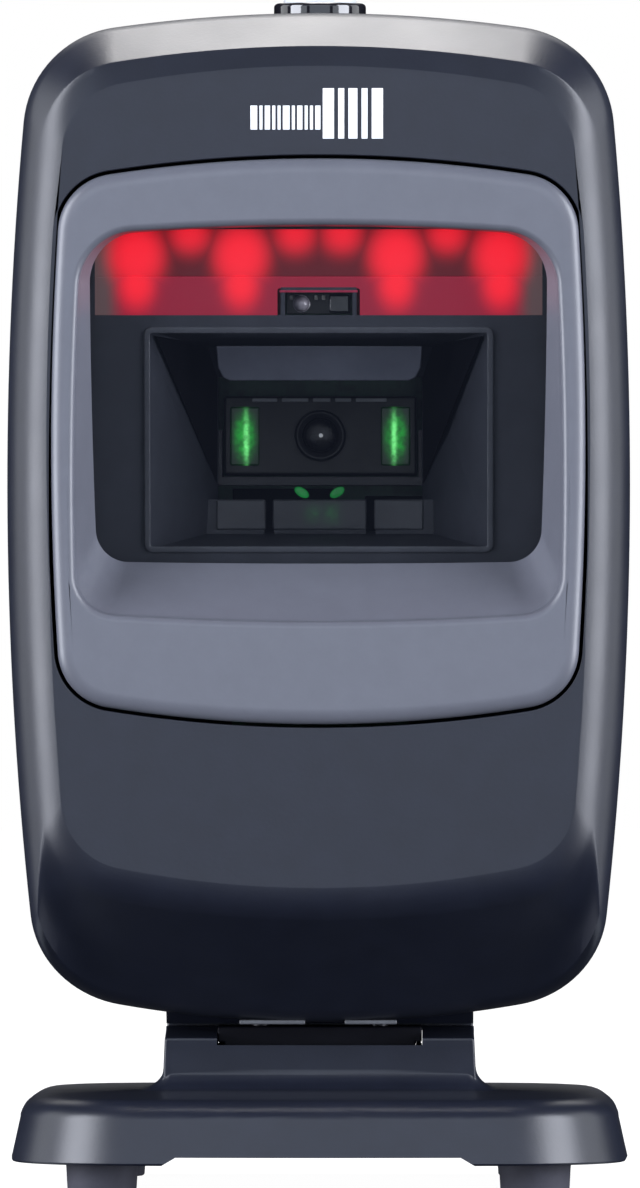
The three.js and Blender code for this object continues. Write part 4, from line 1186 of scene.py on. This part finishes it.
def stand_shell():
    shell = base_skin()
    combine(shell, [neck_flare()], "UNION")
    combine(shell, [base_hollow()])
    posts = [rod("post", *mm(3.2, 7.7, 11), mm(x, y, 0)) for x in (-20, 20) for y in (-31, 31)]
    neck = prism("neck", ear_profile(), -NECK_HALF, NECK_HALF)
    for v in neck.data.vertices:
        v.co.x *= 1 + NECK_SPREAD * (EAR_TOP - v.co.z)
    bake_modifiers(soften(neck, 0.35 * MM, 50))
    combine(shell, [neck] + posts, "UNION")
    low = SHELL_LOW.z / MM
    outline = [(-20.8, low - 0.01), (-20.8, 0), (20.8, 0), (20.8, low - 0.01), (18.9, low + 1.1),
               (-18.9, low + 1.1)]
    arch = loft("arch", [[mm(x, y, z) for x, z in outline] for y in (-60, 60)])
    room = cut_box((-30, CAP_SPLIT / MM - 0.15, 13.1), (30, 12, 30))
    combine(shell, neck_spaces() + [arch, room])
    return soften(shell, 0.18 * MM, 50)


def hinge_cap(side, name):
    x0, x1 = sorted((side * SLOT_HALF, side * NECK_HALF))
    cap = prism(f"hinge_cap_{name}_shell", ear_profile(), x0, x1)
    keep = cut_box((-30, CAP_SPLIT / MM + 0.15, 13.4), (30, 12, 30))
    combine(cap, [keep], "INTERSECT")
    combine(cap, [seat()])
    finish(soften(cap, 0.25 * MM, 50), "stand", "housing", M["stand"], f"hinge_cap_{name}")


def hinge_block():
    """The head's knuckle, a shoulder that fills the slot over it, and two ribs in front, paler than the
    knuckle partly as painted highlight on their edges.
    """
    _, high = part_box("hinge_block")
    radius, deep, waist = 6.2 * MM, 5.6 * MM, PIN_Z - 0.4 * MM
    start = asin((13.2 * MM - PIN_Z) / radius)
    turns = [lerp(start, -pi - start, i / 28) for i in range(29)]
    outline = [(radius * cos(t), PIN_Z + radius * sin(t)) for t in turns]
    outline += [(-deep, waist), (-deep, high.z), (deep, high.z), (deep, waist)]
    block = prism("hinge_block_body", outline, -high.x, high.x)
    reach = SLOT_HALF - 0.04 * MM
    shoulder = round_box("shoulder", (-reach, -deep, PIN_Z + 5.1 * MM), (reach, deep, high.z), 0)
    combine(block, [shoulder], "UNION")
    combine(block, [rod("bore", *mm(2.06, -20, 20), (0, 0, PIN_Z), "x", 32)])
    finish(soften(block, 0.25 * MM, 50), "head", "chassis", M["black"], "hinge_block")
    # the ribs' paler plastic partly paints the highlight lines along their edges
    z0, z1 = BOSS_LOW[2] + 0.25 * MM, BOSS_LOW[2] + 0.85 * MM
    ribs = [((x0 * MM, -14 * MM, z0), (x1 * MM, -12.5 * MM, z1)) for x0, x1 in ((-10.7, -1.9), (3.4, 10.4))]
    box_row("hinge_rib", ribs, 0.15 * MM, 3, "chassis", M["rib"])


def boss_lip():
    """A bead along the rear edge of the pad under the head, closing the gap over the ears."""
    lip = round_box("boss_rear_lip", (BOSS_LOW[0], 4.3 * MM, BOSS_LOW[2] - 1.05 * MM),
                    (BOSS_HIGH[0], 5.9 * MM, BOSS_LOW[2] + 0.4 * MM), 0.3 * MM, 3)
    finish(lip, "head", "housing", M["housing"])


def friction_washers():
    for side, name in SIDES:
        inner, outer = side * (SLOT_HALF - 0.86 * MM), side * (SLOT_HALF - 0.04 * MM)
        profile = [(2.06 * MM, inner), (4.8 * MM, inner), (5 * MM, inner + side * 0.2 * MM),
                   (5 * MM, outer - side * 0.2 * MM), (4.8 * MM, outer), (2.06 * MM, outer)]
        rings = [[(x, r * cos(t), PIN_Z + r * sin(t)) for t in full_turn(48)] for r, x in profile]
        washer = loft(f"friction_washer_{name}_turned", rings, wrap=True, sharp=50)
        finish(washer, "stand", "nylon", M["black_nylon"], f"friction_washer_{name}")


def feet():
    tip, edge, dish = 4.6 * MM, 0.45 * MM, 0.12 * MM
    for number in range(1, 5):
        node = f"rubber_foot_{number}"
        low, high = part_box(node)
        x, y, _ = centre_of(node)
        top = (high.x - low.x) / 2
        profile = [(0, dish), (tip - 1.6 * MM, dish), (tip - 1.3 * MM, 0)]
        profile += [(tip - edge * (1 - sin(a)), edge * (1 - cos(a))) for a in quarter_turn(6)]
        profile += [(lerp(tip, top, 0.8), high.z - 1.0 * MM), (top, high.z - 0.2 * MM),
                    (top - 0.2 * MM, high.z), (0, high.z)]
        foot = lathe(f"{node}_turned", profile, (x, y, 0), "z", 56)
        finish(foot, "stand", "rubber", M["rubber"], node)


def stand():
    finish(stand_shell(), "stand", "housing", M["stand"], "stand_shell")
    for side, name in SIDES:
        hinge_cap(side, name)
    hinge_block()
    boss_lip()
    friction_washers()
    feet()


stand()


# ---- camera, lights and floor

CAMERA_AIM = mm(0, 0, 79.65)
CAMERA_PLACE = (14 * MM, -2.0, CAMERA_AIM[2])
LENS = 448.9   # a long lens, for a sensor 36 mm wide
LIGHT_AIM = mm(0, 0, 90)


def look_at(thing, target):
    direction = Vector(target) - thing.location
    thing.rotation_euler = direction.to_track_quat("-Z", "Y").to_euler()


def camera():
    """Straight on, from very slightly to the right, at the height of the object's middle."""
    data = bpy.data.cameras.new("camera")
    data.lens = LENS
    data.sensor_width = 36
    data.clip_start = 0.1
    made = add_object("camera", data)
    made.location = CAMERA_PLACE
    look_at(made, CAMERA_AIM)
    bpy.context.scene.camera = made


def softbox(name, at, size, brightness, colour=(1, 1, 1)):
    """An area light turned to the object; its surface has the given brightness, whatever its size."""
    data = bpy.data.lights.new(name, "AREA")
    data.shape = "RECTANGLE"
    data.size, data.size_y = size
    data.energy = brightness * pi * size[0] * size[1]
    data.color = colour
    made = add_object(name, data)
    made.location = at
    look_at(made, LIGHT_AIM)


def lights():
    softbox("top_light", (0, 0.28, 1.1), (0.46, 0.7), 12, (1.0, 0.98, 0.97))
    softbox("front_light", (0, -2.3, 0.42), (2.2, 1.5), 1.5, (0.77, 0.86, 1.0))
    softbox("high_front_light", (0, -0.95, 0.55), (1.2, 0.2), 1.7, (0.85, 0.91, 1.0))
    cool = (0.84, 0.91, 1.0)
    for side, name in SIDES:
        softbox(f"{name}_light", (side * 0.92, -0.46, 0.3), (0.55, 0.95), 12.4, (0.88, 0.91, 1.0))
        softbox(f"{name}_rim_light", (side * 1.0, 0.22, 0.3), (0.5, 0.9), 2, (0.94, 0.97, 1.0))
        softbox(f"{name}_fill_light", (side * 1.35, -1.55, 0.35), (0.6, 0.9), 1.9, cool)
        softbox(f"{name}_bounce", (side * 0.75, 0.3, -0.6), (0.6, 0.6), 0.9, cool)
    softbox("rear_light", (0, 1.2, 1.2), (1.2, 0.8), 1.5)


def pale_floor():
    """Almost white near the object and pure white further out."""
    reach = 3
    corners = [(-reach, -reach, 0), (reach, -reach, 0), (reach, reach, 0), (-reach, reach, 0)]
    floor = mesh_object("floor", corners, [(0, 1, 2, 3)])
    look = Look("floor")
    x, y, _ = look.place()
    far = look.maths("SQRT", look.maths("ADD", look.maths("MULTIPLY", x, x), look.maths("MULTIPLY", y, y)))
    fade = look.spread(far, 0.98, 1.0, 0.12, 0.9, "SMOOTHSTEP")
    cloud = look.spread(look.noise(2.5), 0.995, 1.0)
    floor.data.materials.append(look.shade({
        "Emission Strength": look.maths("MULTIPLY", fade, cloud),
        "Emission Color": (1, 1, 1),
        "Base Color": (0.12, 0.12, 0.12),
        "Roughness": 0.9,
        "Specular IOR Level": 0.1,
    }))
    floor.visible_diffuse = False
    floor.visible_glossy = False
    floor.visible_shadow = False


def white_world():
    world = bpy.data.worlds.new("world")
    world.use_nodes = True
    world.node_tree.nodes["Background"].inputs["Color"].default_value = (1, 1, 1, 1)
    world.cycles_visibility.diffuse = False
    world.cycles_visibility.glossy = False
    bpy.context.scene.world = world
    bpy.context.scene.view_settings.view_transform = "Standard"


camera()
lights()
pale_floor()
white_world()
